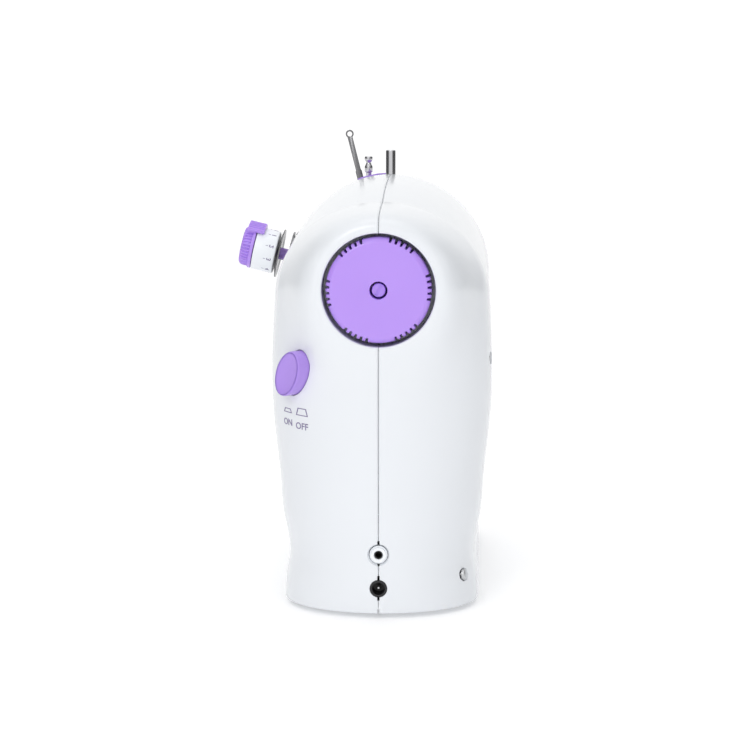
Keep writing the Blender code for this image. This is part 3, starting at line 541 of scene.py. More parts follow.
def on_casing(x, side, z, inset):
    """Carry a point of a plain block to the casing: side runs from -1 to 1 across the depth."""
    near_left = max(0.0, (LEFT_X + inset + sizes("casing").end_round - x)
                    / sizes("casing").end_round)
    drawn = sizes("casing").end_round * (1 - sqrt(max(0.0, 1 - near_left ** 2)))
    u = max(0.0, (x - NOSE_X) / (END_X - inset - NOSE_X))
    w = max(0.0, (z - DOME_Z) / (TOP_Z - inset - DOME_Z))
    uu, vv, ww = u * u, side * side, w * w
    across = (half_depth(z) - inset - drawn) * side * sqrt(1 - uu / 2 - ww / 2 + uu * ww / 3)
    if u > 0:
        reach = right_end(z) - inset - NOSE_X
        x = NOSE_X + reach * u * sqrt(1 - vv / 2 - ww / 2 + vv * ww / 3)
    if w > 0:
        rise = crown(min(x, NOSE_X)) - inset - DOME_Z - drawn
        z = DOME_Z + rise * w * sqrt(1 - uu / 2 - vv / 2 + uu * vv / 3)
    elif drawn > 0:
        low, high = (FLOOR_Z + inset, BED_Z - inset) if z < HEAD_Z - 0.01 else (HEAD_Z + inset,
                                                                             DOME_Z)
        middle = (low + high) / 2 if z < HEAD_Z - 0.01 else DOME_Z
        z = middle + (z - middle) * (1 - drawn / (middle - low))
    return wheel_rim(Vector((x, across, z)), inset)


def steps_between(low, high, count, keep_low=0.0, keep_high=0.0):
    """Places that divide a span, leaving a stretch free at either end for a fillet."""
    places = [low + (high - low) * i / count for i in range(1, count)]
    return [place for place in places if low + keep_low < place < high - keep_high]


def casing_form(inset, fine=True):
    """The casing's outer form as a closed solid, or that form shrunk by a wall."""
    left, right = LEFT_X + inset, END_X - inset
    head, column = HEAD_X - inset, COLUMN_X + inset
    floor, bed, top = FLOOR_Z + inset, BED_Z - inset, TOP_Z - inset
    under_head, under_arm = HEAD_Z + inset, ARM_Z + inset
    outline = [(left, floor), (right, floor), (right, top), (left, top), (left, under_head),
               (head, under_head), (head, under_arm), (column, under_arm), (column, bed),
               (left, bed)]
    shape = bmesh.new()
    ring = [shape.verts.new((x, -1, z)) for x, z in outline]
    face = shape.faces.new(ring)
    made = bmesh.ops.extrude_face_region(shape, geom=[face], use_keep_orig=True)["geom"]
    moved = [item for item in made if isinstance(item, bmesh.types.BMVert)]
    bmesh.ops.translate(shape, vec=(0, 2, 0), verts=moved)
    bmesh.ops.recalc_face_normals(shape, faces=shape.faces)
    density = 1.0 if fine else 0.4
    round_end = sizes("casing").end_round
    across = steps_between(-1, 1, round(24 * density))
    along = [left + round_end * (1 - sin(radians(angle))) for angle in (10, 22, 35, 50, 68, 90)]
    along += [head, column, NOSE_X] + steps_between(left + round_end, head, round(10 * density))
    fillet = sizes("casing").throat_fillet * 1.1
    along += steps_between(head, column, round(18 * density), fillet, fillet)
    along += steps_between(column, NOSE_X, round(6 * density))
    along += steps_between(NOSE_X, right, round(16 * density))
    upward = [bed, under_head, under_arm, DOME_Z] + steps_between(floor, bed, round(16 * density))
    upward += steps_between(bed, under_head, round(10 * density), fillet)
    upward += steps_between(under_head, under_arm, round(6 * density), 0.0, fillet)
    upward += steps_between(under_arm, DOME_Z, round(5 * density))
    upward += steps_between(DOME_Z, top, round(16 * density))
    for normal, places in ((Y_AXIS, across), (X_AXIS, along), (Z_AXIS, upward)):
        for place in places:
            everything = list(shape.verts) + list(shape.edges) + list(shape.faces)
            bmesh.ops.bisect_plane(shape, geom=everything, dist=0.0000001,
                                   plane_co=normal * place, plane_no=normal)
    for vert in shape.verts:
        vert.co = on_casing(vert.co.x, vert.co.y, vert.co.z, inset)
    bmesh.ops.recalc_face_normals(shape, faces=shape.faces)
    round_throat(shape, inset)
    if fine:
        soften(shape, sizes("casing").edge_round, 3, radians(50))
    return shape


def round_throat(shape, inset):
    """Fillet the inside corners of the throat, which run from front to back."""
    corners = ((HEAD_X - inset, ARM_Z + inset), (COLUMN_X + inset, ARM_Z + inset),
               (COLUMN_X + inset, BED_Z - inset))
    edges = []
    for edge in shape.edges:
        ends = [vert.co for vert in edge.verts]
        for x, z in corners:
            if all(hypot(end.x - x, end.z - z) < 0.0004 for end in ends):
                edges.append(edge)
    bevel(shape, edges, sizes("casing").throat_fillet - inset, 6, clamp=False)


def press_seam(shape):
    """Press a rounded groove into the surface along the parting plane."""
    casing = sizes("casing")
    half = casing.groove_width / 2
    levels = ((half, 0.0), (half * 0.65, 0.35), (casing.seam_gap * 0.3, 1.0))
    for place, _ in levels:
        for side in (-1, 1):
            everything = list(shape.verts) + list(shape.edges) + list(shape.faces)
            bmesh.ops.bisect_plane(shape, geom=everything, dist=0.0000001,
                                   plane_co=Y_AXIS * side * place, plane_no=Y_AXIS)
    corners = ((END_X, FLOOR_Z), (LEFT_X, FLOOR_Z), (LEFT_X, BED_Z), (LEFT_X, HEAD_Z),
               (HEAD_X, HEAD_Z))
    shape.normal_update()
    moves = []
    for vert in shape.verts:
        away = abs(vert.co.y)
        if away > half + 0.00001:
            continue
        depth = max(share for place, share in levels if away < place + 0.00001)
        nearest = min(hypot(vert.co.x - x, vert.co.z - z) for x, z in corners)
        depth *= smooth((nearest - 0.003) / 0.004)
        moves.append((vert, vert.normal * casing.groove_depth * depth))
    for vert, inward in moves:
        keep = vert.co.y
        vert.co -= inward
        vert.co.y = keep
    return shape


def shell_half(solid, hollow, side):
    """The wall between two closed forms, on one side of the parting plane, as a closed shell."""
    outward = Y_AXIS * side
    plane = outward * sizes("casing").seam_gap / 2
    halves = []
    for form in (solid, hollow):
        half = form.copy()
        everything = list(half.verts) + list(half.edges) + list(half.faces)
        bmesh.ops.bisect_plane(half, geom=everything, dist=0.0000001, clear_inner=True,
                               plane_co=plane, plane_no=outward)
        halves.append(half)
    bmesh.ops.reverse_faces(halves[1], faces=halves[1].faces)
    shape = gathered(*halves)
    rim = [edge for edge in shape.edges if edge.is_boundary]
    for edge in rim:
        for vert in edge.verts:
            vert.co.y = plane.y
    bmesh.ops.triangle_fill(shape, use_beauty=True, edges=rim, normal=-outward)
    bmesh.ops.recalc_face_normals(shape, faces=shape.faces)
    return shape


def top_recess_tool():
    """Cutter for the recess that the lilac cover strip lies in."""
    return carved(block((-0.0883, -0.0168, 0.170), (-0.0457, -0.0009, TOP_Z + 0.01)),
                  [casing_form(0.0012, False)])


def button_outline(extra, steps=72):
    """A leaning oval, in the plane square to the button's axis."""
    outline = []
    lean = radians(25)
    for i in range(steps):
        angle = 2 * pi * i / steps
        up, side = (0.0107 + extra) * cos(angle), (0.0066 + extra) * sin(angle)
        outline.append((side * cos(lean) + up * sin(lean), up * cos(lean) - side * sin(lean)))
    return outline


def on_button(shape, start):
    """Stand a plate of the button's outline on the button's axis."""
    bmesh.ops.translate(shape, vec=(0, 0, start), verts=shape.verts)
    flat = Matrix(((1, 0, 0), (0, 0, -1), (0, 1, 0)))
    bmesh.ops.rotate(shape, cent=(0, 0, 0), matrix=flat, verts=shape.verts)
    turn = Vector((0, -1, 0)).rotation_difference(BUTTON_AXIS)
    bmesh.ops.rotate(shape, cent=(0, 0, 0), matrix=turn.to_matrix(), verts=shape.verts)
    bmesh.ops.translate(shape, vec=BUTTON_AT, verts=shape.verts)
    return shape


def recess_tool():
    """Cutter for the handwheel recess, with a rounded mouth and the shaft's hole."""
    casing = sizes("casing")
    floor = casing.recess_floor - 0.070
    mouth = END_X - 0.0005 - 0.070
    ease = 0.0009
    profile = [(0, 0.005), (0.0036, 0.005), (0.0036, floor), (casing.recess, floor),
               (casing.recess, mouth - ease)]
    for i in range(1, 6):
        angle = radians(15 * i)
        profile.append((casing.recess + ease * (1 - cos(angle)), mouth - ease * (1 - sin(angle))))
    profile += [(casing.recess + ease, mouth + 0.004), (0, mouth + 0.004)]
    return turned(profile, (0.070, 0, SHAFT_Z), X_AXIS, 128)


SCREWS = (("case_screw_lower_right", (0.078, 0.0387, 0.016), (0.078, 0.027, 0.016)),
          ("case_screw_lower_left", (-0.080, 0.0430, 0.016), (-0.080, 0.027, 0.016)),
          ("case_screw_upper_right", (0.066, 0.0490, 0.112), (0.066, 0.034, 0.112)),
          ("case_screw_upper_left", (-0.085, 0.0485, 0.125), (-0.085, 0.034, 0.125)))
FEET = (("foot_left_front", -0.084, -0.031), ("foot_left_rear", -0.084, 0.031),
        ("foot_right_front", 0.064, -0.031), ("foot_right_rear", 0.064, 0.031))
PEDAL_Z, POWER_Z = 0.0285, 0.0135


def casing_cutters():
    """One cutter for every opening of the casing."""
    under, top = FLOOR_Z - 0.01, TOP_Z + 0.01
    holes = [
        recess_tool(),
        block((-0.0822, -0.047, 0.158), (-0.0778, -0.0170, top)),
        rod(0.0027, (-0.038, 0, 0.175), (-0.038, 0, top)),
        rod(0.0048, (NEEDLE_X, 0, 0.098), (NEEDLE_X, 0, 0.106)),
        rod(0.0044, (NEEDLE_X, PRESSER_Y, 0.098), (NEEDLE_X, PRESSER_Y, 0.106)),
        block((-0.0645, 0.023, 0.098), (-0.0500, 0.029, 0.106)),
        rod(0.0043, (-0.060, -0.016, 0.098), (-0.060, -0.016, 0.106)),
        block((-0.092, -0.060, 0.0573), (-0.0560, -0.0080, 0.070)),
        block((-0.0800, -0.003, 0.050), (-0.0680, 0.019, 0.0575)),
        block((-0.0325, -0.0300, under), (0.0413, 0.0300, 0.0048)),
        rod(0.0043, (0.085, 0, PEDAL_Z), (0.110, 0, PEDAL_Z)),
        rod(0.0039, (0.085, 0, POWER_Z), (0.110, 0, POWER_Z)),
        rod(0.0034, TENSION_AT - TENSION_AXIS * 0.008, TENSION_AT + TENSION_AXIS * 0.004),
        on_button(plate(button_outline(0.0004), 0.018), -0.006),
    ]
    for _, x, y in FEET:
        holes.append(rod(0.0023, (x, y, under), (x, y, 0.006), 24))
    for _, start, end in SCREWS:
        inward = (Vector(end) - Vector(start)).normalized()
        holes.append(rod(0.0030, Vector(start) - inward * 0.012,
                         Vector(start) + inward * 0.0040, 32))
    for low, high in ((PEDAL_Z + 0.0042, PEDAL_Z + 0.0062), (PEDAL_Z - 0.0052, PEDAL_Z - 0.0042),
                      (POWER_Z + 0.0038, POWER_Z + 0.0056), (POWER_Z - 0.0054, POWER_Z - 0.0038),
                      (FLOOR_Z - 0.002, FLOOR_Z + 0.0018)):
        holes.append(block((0.080, -0.0005, low), (0.110, 0.0005, high)))
    holes += [
        block((-0.092, -0.0081, 0.0573), (-0.0546, 0.024, 0.070)),
        rod(0.0153, (NEEDLE_X, -0.0165, 0.050), (NEEDLE_X, -0.0165, 0.062), 64),
        top_recess_tool(),
        turned([(0, 0), (0.0043, 0), (0.0049, 0.0006), (0.0049, 0.01), (0, 0.01)],
               (0.0960, 0, PEDAL_Z), X_AXIS),
    ]
    return gathered(*holes)


class SEWING_OT_casing(bpy.types.Operator):
    """Mould the front and rear shells with the handwheel recess and every opening."""
    bl_idname = "sewing.casing"
    bl_label = "Casing shells"

    def execute(self, context):
        casing = sizes("casing")
        kept = rod(casing.recess + casing.wall - 0.0002,
                   (casing.recess_floor - casing.wall, 0, SHAFT_Z), (0.12, 0, SHAFT_Z), 61)
        off_grid = Quaternion(X_AXIS, radians(1.7)).to_matrix()
        bmesh.ops.rotate(kept, cent=(0, 0, SHAFT_Z), matrix=off_grid, verts=kept.verts)
        seat = block((-0.0965, -0.043, 0.0545), (-0.050, 0.043, 0.0603))
        hollow = carved(casing_form(casing.wall, False), [kept, seat])
        solid = press_seam(casing_form(0))
        for name, node, side in (("casing_front", "front_shell", -1),
                                 ("casing_rear", "rear_shell", 1)):
            half = carved(shell_half(solid, hollow, side), [casing_cutters()], crossing=True)
            piece(name, half, "white_plastic", "machine", [node], radians(38))
        solid.free()
        hollow.free()
        return {"FINISHED"}


class SEWING_OT_top_strip(bpy.types.Operator):
    """Lay the lilac cover strip into the top of the head."""
    bl_idname = "sewing.top_strip"
    bl_label = "Top cover strip"

    def execute(self, context):
        strip = block((-0.088, -0.0165, 0.170), (-0.046, -0.0012, 0.199))
        strip = carved(strip, [casing_form(-0.0007, False)], "INTERSECT")
        strip = carved(strip, [casing_form(0.0009, False),
                               block((-0.0822, -0.047, 0.158), (-0.0778, -0.0125, 0.2))])
        strip = carved(strip, [rod(0.0017, (-0.060, -0.0118, 0.17), (-0.060, -0.0118, 0.2), 32)])
        piece("top_strip", strip, "lilac_plastic", "machine", ["top_insert"])
        return {"FINISHED"}


# ---- handwheel ----------------------------------------------------------------------

class SEWING_OT_handwheel(bpy.types.Operator):
    """Turn the handwheel with its groups of grip notches, and the slotted winding spindle."""
    bl_idname = "sewing.handwheel"
    bl_label = "Handwheel"

    def execute(self, context):
        wheel = sizes("wheel")
        rim = (WHEEL_HIGH.z - WHEEL_LOW.z) / 2
        back, face = 0.084, WHEEL_HIGH.x
        steps = 432
        profile = [(0.0033, 0), (rim - 0.0015, 0), (rim, 0.0015), (rim, face - back - 0.0020),
                   (rim - 0.0006, face - back - 0.0009), (rim - 0.0021, face - back),
                   (wheel.socket, face - back), (wheel.socket, 0.0043), (0.0033, 0.0043)]
        profile = eased(profile, 0.0004, 2) + [(0.0033, 0)]
        shape = turned(profile, steps=steps)
        for vert in shape.verts:
            away = hypot(vert.co.x, vert.co.y)
            if away <= wheel.notch_floor:
                continue
            angle = atan2(vert.co.y, vert.co.x) - radians(3)
            sector = 2 * pi / wheel.notch_groups
            in_group = (angle + sector / 2) % sector - sector / 2
            nearest = round(in_group / wheel.notch_pitch)
            reach = (wheel.notches - 1) / 2
            off = abs(in_group - nearest * wheel.notch_pitch)
            if abs(nearest) <= reach and off < wheel.notch_width / 2:
                vert.co.x *= wheel.notch_floor / away
                vert.co.y *= wheel.notch_floor / away
        face_angle = Quaternion((0, 0, 1), radians(0)).to_matrix()
        bmesh.ops.rotate(shape, cent=(0, 0, 0), matrix=face_angle, verts=shape.verts)
        face_on(shape, (back, 0, SHAFT_Z))
        piece("handwheel_rim", shape, "lilac_plastic", "shaft", ["handwheel"])
        spindle = rod(0.0030, (0.0886, 0, SHAFT_Z), (0.0972, 0, SHAFT_Z), 64, 0.0005)
        slot = block((-0.0006, -0.0024, 0.0008), (0.0006, 0.0024, 0.002))
        bmesh.ops.rotate(slot, cent=(0, 0, 0), matrix=Quaternion((0, 0, 1), radians(-28)).to_matrix(),
                         verts=slot.verts)
        face_on(slot, (0.0972 - 0.0014, 0, SHAFT_Z))
        spindle = carved(spindle, [slot])
        piece("winding_spindle", spindle, "lilac_plastic", "shaft",
              ["winder_spindle"])
        return {"FINISHED"}


def face_on(shape, at):
    """Stand a shape drawn in the XY plane to face +X: its x runs to the rear, its y upwards."""
    turn = Matrix(((0, 0, 1), (1, 0, 0), (0, 1, 0)))
    bmesh.ops.rotate(shape, cent=(0, 0, 0), matrix=turn, verts=shape.verts)
    bmesh.ops.translate(shape, vec=at, verts=shape.verts)
    return shape


# ---- power button and its marks -------------------------------------------------------

class SEWING_OT_button(bpy.types.Operator):
    """Shape the leaning oval power button with its rounded rim and slightly dished face."""
    bl_idname = "sewing.button"
    bl_label = "Power button"

    def execute(self, context):
        high = 0.0105
        shape = plate(button_outline(0), high)
        top = [face for face in shape.faces if face.normal.z > 0.9]
        bmesh.ops.inset_region(shape, faces=top, thickness=0.0004, use_even_offset=True)
        for thickness, depth in ((0.0005, 0.0), (0.0012, -0.0002), (0.0018, -0.0002)):
            top = [face for face in shape.faces
                   if face.normal.z > 0.9 and len(face.verts) > 8]
            bmesh.ops.inset_region(shape, faces=top, thickness=thickness, depth=depth,
                                   use_even_offset=True)
        rim = [edge for edge in shape.edges
               if len(edge.link_faces) == 2 and edge.calc_face_angle(0) > radians(60)
               and edge.verts[0].co.z > high / 2]
        bevel(shape, rim, 0.0012, 4, clamp=False)
        on_button(shape, -0.0045)
        piece("power_button_cap", shape, "button_plastic", "button",
              ["power_button"])
        return {"FINISHED"}


def text_shape(body, height, at, thick=0.0001):
    """A short word as a flat shape in the XY plane, centred on a point."""
    words = bpy.data.curves.new("words", "FONT")
    words.body = body
    words.size = height / 0.7
    words.align_x = "CENTER"
    words.align_y = "CENTER"
    words.extrude = thick / 2
    words.offset = height * 0.02
    words.resolution_u = 4
    holder = bpy.data.objects.new("words", words)
    bpy.context.scene.collection.objects.link(holder)
    bpy.context.view_layer.update()
    shape = bmesh.new()
    evaluated = holder.evaluated_get(bpy.context.evaluated_depsgraph_get())
    shape.from_mesh(evaluated.to_mesh())
    evaluated.to_mesh_clear()
    bpy.data.objects.remove(holder, do_unlink=True)
    bpy.data.curves.remove(words)
    bmesh.ops.remove_doubles(shape, verts=shape.verts, dist=MERGE)
    bmesh.ops.translate(shape, vec=(*at, 0), verts=shape.verts)
    return shape


def outline_mark(half_top, half_base, high, at, line=0.00038, thick=0.0001):
    """A trapezoid drawn as a line: the sign for a button that stands out or is pressed in."""
    x, y = at
    outer = ((x - half_base - line, y), (x + half_base + line, y),
             (x + half_top + line * 0.6, y + high), (x - half_top - line * 0.6, y + high))
    inner = ((x - half_base + line * 0.6, y + line), (x + half_base - line * 0.6, y + line),
             (x + half_top - line * 0.6, y + high - line), (x - half_top + line * 0.6,
                                                            y + high - line))
    shape = bmesh.new()
    ring = [shape.verts.new((*point, -thick / 2)) for point in outer]
    hole = [shape.verts.new((*point, -thick / 2)) for point in inner]
    faces = []
    for i in range(4):
        j = (i + 1) % 4
        faces.append(shape.faces.new((ring[i], ring[j], hole[j], hole[i])))
    made = bmesh.ops.extrude_face_region(shape, geom=faces, use_keep_orig=True)["geom"]
    moved = [item for item in made if isinstance(item, bmesh.types.BMVert)]
    bmesh.ops.translate(shape, vec=(0, 0, thick), verts=moved)
    bmesh.ops.recalc_face_normals(shape, faces=shape.faces)
    return shape


class SEWING_OT_marks(bpy.types.Operator):
    """Print the two switch signs and their words on the front shell, under the button."""
    bl_idname = "sewing.marks"
    bl_label = "Switch marks"

    def execute(self, context):
        signs = gathered(
            outline_mark(0.0018, 0.0027, 0.0020, (-0.0042, 0.0028)),
            outline_mark(0.0022, 0.0031, 0.0034, (0.0050, 0.0026)),
            text_shape("ON", 0.0029, (-0.0042, -0.0016)),
            text_shape("OFF", 0.0029, (0.0050, -0.0022)),
        )
        bmesh.ops.subdivide_edges(signs, edges=[edge for edge in signs.edges
                                                if edge.calc_length() > 0.0012], cuts=3)
        lean = Quaternion((0, 0, 1), radians(-3)).to_matrix()
        bmesh.ops.rotate(signs, cent=(0, 0, 0), matrix=lean, verts=signs.verts)
        shell = bpy.data.objects["casing_front"]
        tree = BVHTree.FromObject(shell, context.evaluated_depsgraph_get())
        middle = Vector((0.0, -0.0375, 0.0862))
        lean_out = sqrt(1 - (middle.y / half_depth(middle.z)) ** 2)
        outward = Vector((lean_out, middle.y / half_depth(middle.z), 0)).normalized()
        aside = Vector((-outward.y, outward.x, 0))
        centre = Vector((0.0845, middle.y, middle.z)) + outward * 0.02
        for vert in signs.verts:
            start = centre + aside * vert.co.x + Z_AXIS * vert.co.y + STAND
            hit, normal, _, _ = tree.ray_cast(start, -outward)
            if hit is None:
                raise RuntimeError("the switch marks miss the front shell")
            vert.co = hit - STAND + normal * (vert.co.z + 0.00003)
        piece("switch_marks", signs, "print", "machine")
        return {"FINISHED"}


# ---- thread tension -------------------------------------------------------------------

def on_tension(shape):
    """Carry a shape made round +Z, with +Y as its top, onto the tension unit's axis."""
    turn = Matrix(((1, 0, 0), (0, 0, -1), (0, 1, 0)))
    bmesh.ops.rotate(shape, cent=(0, 0, 0), matrix=turn, verts=shape.verts)
    tilt = Quaternion((1, 0, 0), -TENSION_TILT).to_matrix()
    bmesh.ops.rotate(shape, cent=(0, 0, 0), matrix=tilt, verts=shape.verts)
    bmesh.ops.translate(shape, vec=TENSION_AT, verts=shape.verts)
    return shape


class SEWING_OT_tension(bpy.types.Operator):
    """Make the tension unit: post, pressure discs, check spring, numbered drum and dial."""
    bl_idname = "sewing.tension"
    bl_label = "Thread tension unit"

    def execute(self, context):
        dial = sizes("dial")
        post = [(0, -0.009), (0.003, -0.009), (0.003, 0.0008), (0.006, 0.0008), (0.006, 0.0020),
                (0.003, 0.0020), (0.003, 0.0096), (0.0018, 0.0096), (0.0018, 0.0262),
                (0, 0.0262)]
        shape = on_tension(turned(eased(post, 0.0003)))
        piece("tension_core", shape, "lilac_plastic", "machine",
              ["tension_post"])
        for name, node, start, flare in (("pressure_disc_inner", "inner_tension_disc", 0.0032, 1),
                                         ("pressure_disc_outer", "outer_tension_disc", 0.0092,
                                          -1)):
            rise = 0.0006 * flare
            disc = [(0.0033, start), (0.0090, start), (0.0100, start + rise * 0.25),
                    (0.0112, start + rise * 0.8), (0.0122, start + rise),
                    (0.0122, start + rise + 0.0006), (0.0112, start + rise * 0.8 + 0.0007),
                    (0.0100, start + rise * 0.25 + 0.0007), (0.0090, start + 0.0007),
                    (0.0033, start + 0.0007)]
            shape = on_tension(turned(disc, steps=96, closed=True))
            # the discs take the chrome darkened by painted shade
            piece(name, shape, "painted_shade_chrome", "machine", [node])
        self.drum(dial)
        self.knob(dial)
        self.check_spring()
        return {"FINISHED"}

    def drum(self, dial):
        rim = dial.drum_radius
        profile = [(0.0022, 0.0106), (0.0098, 0.0106), (rim, 0.0110), (rim, 0.0217),
                   (0.0022, 0.0217)]
        drum = turned(eased(profile, 0.0005) + [profile[0]], steps=96)
        drum = on_tension(drum)
        piece("numbered_drum", drum, "drum_plastic", "machine",
              ["tension_drum"])
        digits = []
        for number in range(10):
            mark = text_shape(str(number), 0.0022, (0, 0.0132))
            line = block((-0.0001, 0.0150, -0.00005), (0.0001, 0.0162, 0.00005))
            both = gathered(mark, line)
            for vert in both.verts:
                angle = vert.co.x / rim
                away = rim + 0.00004 + vert.co.z
                vert.co = Vector((away * sin(angle), away * cos(angle), vert.co.y))
            bmesh.ops.recalc_face_normals(both, faces=both.faces)
            bmesh.ops.rotate(both, cent=(0, 0, 0), verts=both.verts,
                             matrix=Quaternion((0, 0, 1), -2 * pi * number / 10).to_matrix())
            digits.append(both)
        piece("drum_numbers", on_tension(gathered(*digits)), "print", "machine")

    def knob(self, dial):
        rim = dial.knob_radius
        steps = dial.ridges * 4
        profile = [(0, 0.0266), (0.0022, 0.0266), (0.0022, 0.0221), (0.0106, 0.0221),
                   (0.0106, 0.0236), (rim, 0.0240), (rim, 0.0262), (rim - 0.0003, 0.0274),
                   (rim - 0.0014, 0.0283), (rim - 0.0040, 0.0286), (0, 0.0287)]
        knob = turned(eased(profile, 0.0003, 2), steps=steps)
        for vert in knob.verts:
            away = hypot(vert.co.x, vert.co.y)
            ridged = 0.0237 < vert.co.z < 0.0284 and away > rim - 0.0022
            if ridged and round(atan2(vert.co.y, vert.co.x) / (2 * pi) * steps) % 4 in (2, 3):
                shrink = (away - dial.ridge_height * 1.6) / away
                vert.co.x *= shrink
                vert.co.y *= shrink
        tab = self.arc_plate(0.0110, 0.0126, radians(44), 0.0182, 0.0236)
        bridge = self.arc_plate(0.0088, 0.0126, radians(44), 0.0224, 0.0268)
        ribs = []
        for i in range(-6, 7):
            rib = block((-0.00028, 0.0118, 0.0186), (0.00028, 0.01285, 0.0266))
            bmesh.ops.rotate(rib, cent=(0, 0, 0), verts=rib.verts,
                             matrix=Quaternion((0, 0, 1), radians(6.6 * i)).to_matrix())
            ribs.append(rib)
        knob = carved(knob, [tab, bridge], "UNION")
        knob = carved(knob, [gathered(*ribs)], "UNION")
        piece("tension_dial", on_tension(knob), "lilac_plastic", "tension_dial",
              ["tension_knob"])

    def arc_plate(self, inner, outer, half, low, high):
        outline = []
        count = 20
        for radius, start, end in ((outer, -half, half), (inner, half, -half)):
            for i in range(count + 1):
                angle = start + (end - start) * i / count
                outline.append((radius * sin(angle), radius * cos(angle)))
        shape = plate(outline, high - low, 0.0003)
        bmesh.ops.translate(shape, vec=(0, 0, low), verts=shape.verts)
        return shape

    def check_spring(self):
        path = []
        for i in range(25):
            angle = radians(-60 + 12.5 * i)
            path.append(Vector((0.0039 * sin(angle), 0.0039 * cos(angle), 0.0026)))
        path += [Vector((-0.0046, 0.0080, 0.0026)), Vector((0.0006, 0.0124, 0.0022)),
                 Vector((0.0026, 0.0112, 0.0026))]
        shape = on_tension(wire(path, 0.0004))
        # the spring takes the chrome darkened by painted shade
        piece("check_spring_wire", shape, "painted_shade_chrome", "machine", ["check_spring"])


def wire(path, radius):
    """Round wire along a path, with closed ends."""
    line = bpy.data.curves.new("wire", "CURVE")
    line.dimensions = "3D"
    line.bevel_depth = radius
    line.bevel_resolution = 3
    line.use_fill_caps = True
    spline = line.splines.new("POLY")
    spline.points.add(len(path) - 1)
    for point, place in zip(spline.points, path):
        point.co = (*place, 1)
    holder = bpy.data.objects.new("wire", line)
    bpy.context.scene.collection.objects.link(holder)
    bpy.context.view_layer.update()
    shape = bmesh.new()
    evaluated = holder.evaluated_get(bpy.context.evaluated_depsgraph_get())
    shape.from_mesh(evaluated.to_mesh())
    evaluated.to_mesh_clear()
    bpy.data.objects.remove(holder, do_unlink=True)
    bpy.data.curves.remove(line)
    bmesh.ops.remove_doubles(shape, verts=shape.verts, dist=MERGE)
    bmesh.ops.recalc_face_normals(shape, faces=shape.faces)
    return shape


# ---- pins and lever on the top --------------------------------------------------------

class SEWING_OT_top_fittings(bpy.types.Operator):
    """Turn the spool pin and the waisted guide post, and finish the take-up lever."""
    bl_idname = "sewing.top_fittings"
    bl_label = "Spool pin, guide post and take-up lever"

    def execute(self, context):
        pin = [(0, 0), (0.0024, 0), (0.0024, 0.0388), (0.0020, 0.0392), (0, 0.0392)]
        piece("spool_spindle", turned(eased(pin, 0.0002), (-0.038, 0, 0.1614)), "chrome",
              "spool", ["spool_pin"])
        post = [(0, 0), (0.0014, 0), (0.0014, 0.0086), (0.0020, 0.0090), (0.0020, 0.0112),
                (0.0019, 0.0119), (0.00135, 0.0128), (0.00125, 0.0133), (0.00135, 0.0138),
                (0.0019, 0.0146), (0.0020, 0.0152), (0.0020, 0.0162), (0.0017, 0.0166),
                (0, 0.0166)]
        piece("guide_post", turned(eased(post, 0.00015), (-0.060, -0.0118, 0.1800)), "chrome",
              "machine", ["thread_guide_post"])
        lever = self.lever()
        # the lever takes the chrome darkened by painted shade, for its dark reflections
        piece("take_up_arm", lever, "painted_shade_chrome", "lever", ["take_up_lever"])
        return {"FINISHED"}

    def strap(self, first, second, radius, steps=14):
        """Outline of a straight strap with round ends, as (Y, Z) points."""
        lean = atan2(second[1] - first[1], second[0] - first[0])
        outline = []
        for centre, start in ((second, lean - pi / 2), (first, lean + pi / 2)):
            for i in range(steps + 1):
                angle = start + pi * i / steps
                outline.append((centre[0] + radius * cos(angle),
                                centre[1] + radius * sin(angle)))
        return outline

    def lever(self):
        pivot, knee, waist, eye = (0.015, 0.150), (-0.0115, 0.1620), (-0.0177, 0.1880), \
            (-0.0223, 0.2070)
        low, thick = -0.0808, 0.0016

        def sheet(outline):
            return face_on(plate(outline, thick), (low, 0, 0))

        lever = sheet(self.strap(knee, waist, 0.0016))
        parts = [sheet(self.strap(pivot, (pivot[0], pivot[1] + 0.0001), 0.0042)),
                 sheet(self.strap(pivot, knee, 0.0022)),
                 sheet(self.strap(waist, (eye[0], eye[1] - 0.001), 0.00125)),
                 sheet(self.strap(eye, (eye[0], eye[1] + 0.0001), 0.0020, 24))]
        lever = carved(lever, parts, "UNION")
        lever = carved(lever, [rod(0.0021, (-0.083, *pivot), (-0.077, *pivot), 32),
                               rod(0.00125, (-0.083, *eye), (-0.077, *eye), 32)])
        bmesh.ops.remove_doubles(lever, verts=lever.verts, dist=0.00002)
        bmesh.ops.dissolve_limit(lever, angle_limit=radians(1), verts=lever.verts,
                                 edges=lever.edges)
        return soften(lever, 0.00022, 2, radians(50))


# ---- needle and presser ---------------------------------------------------------------

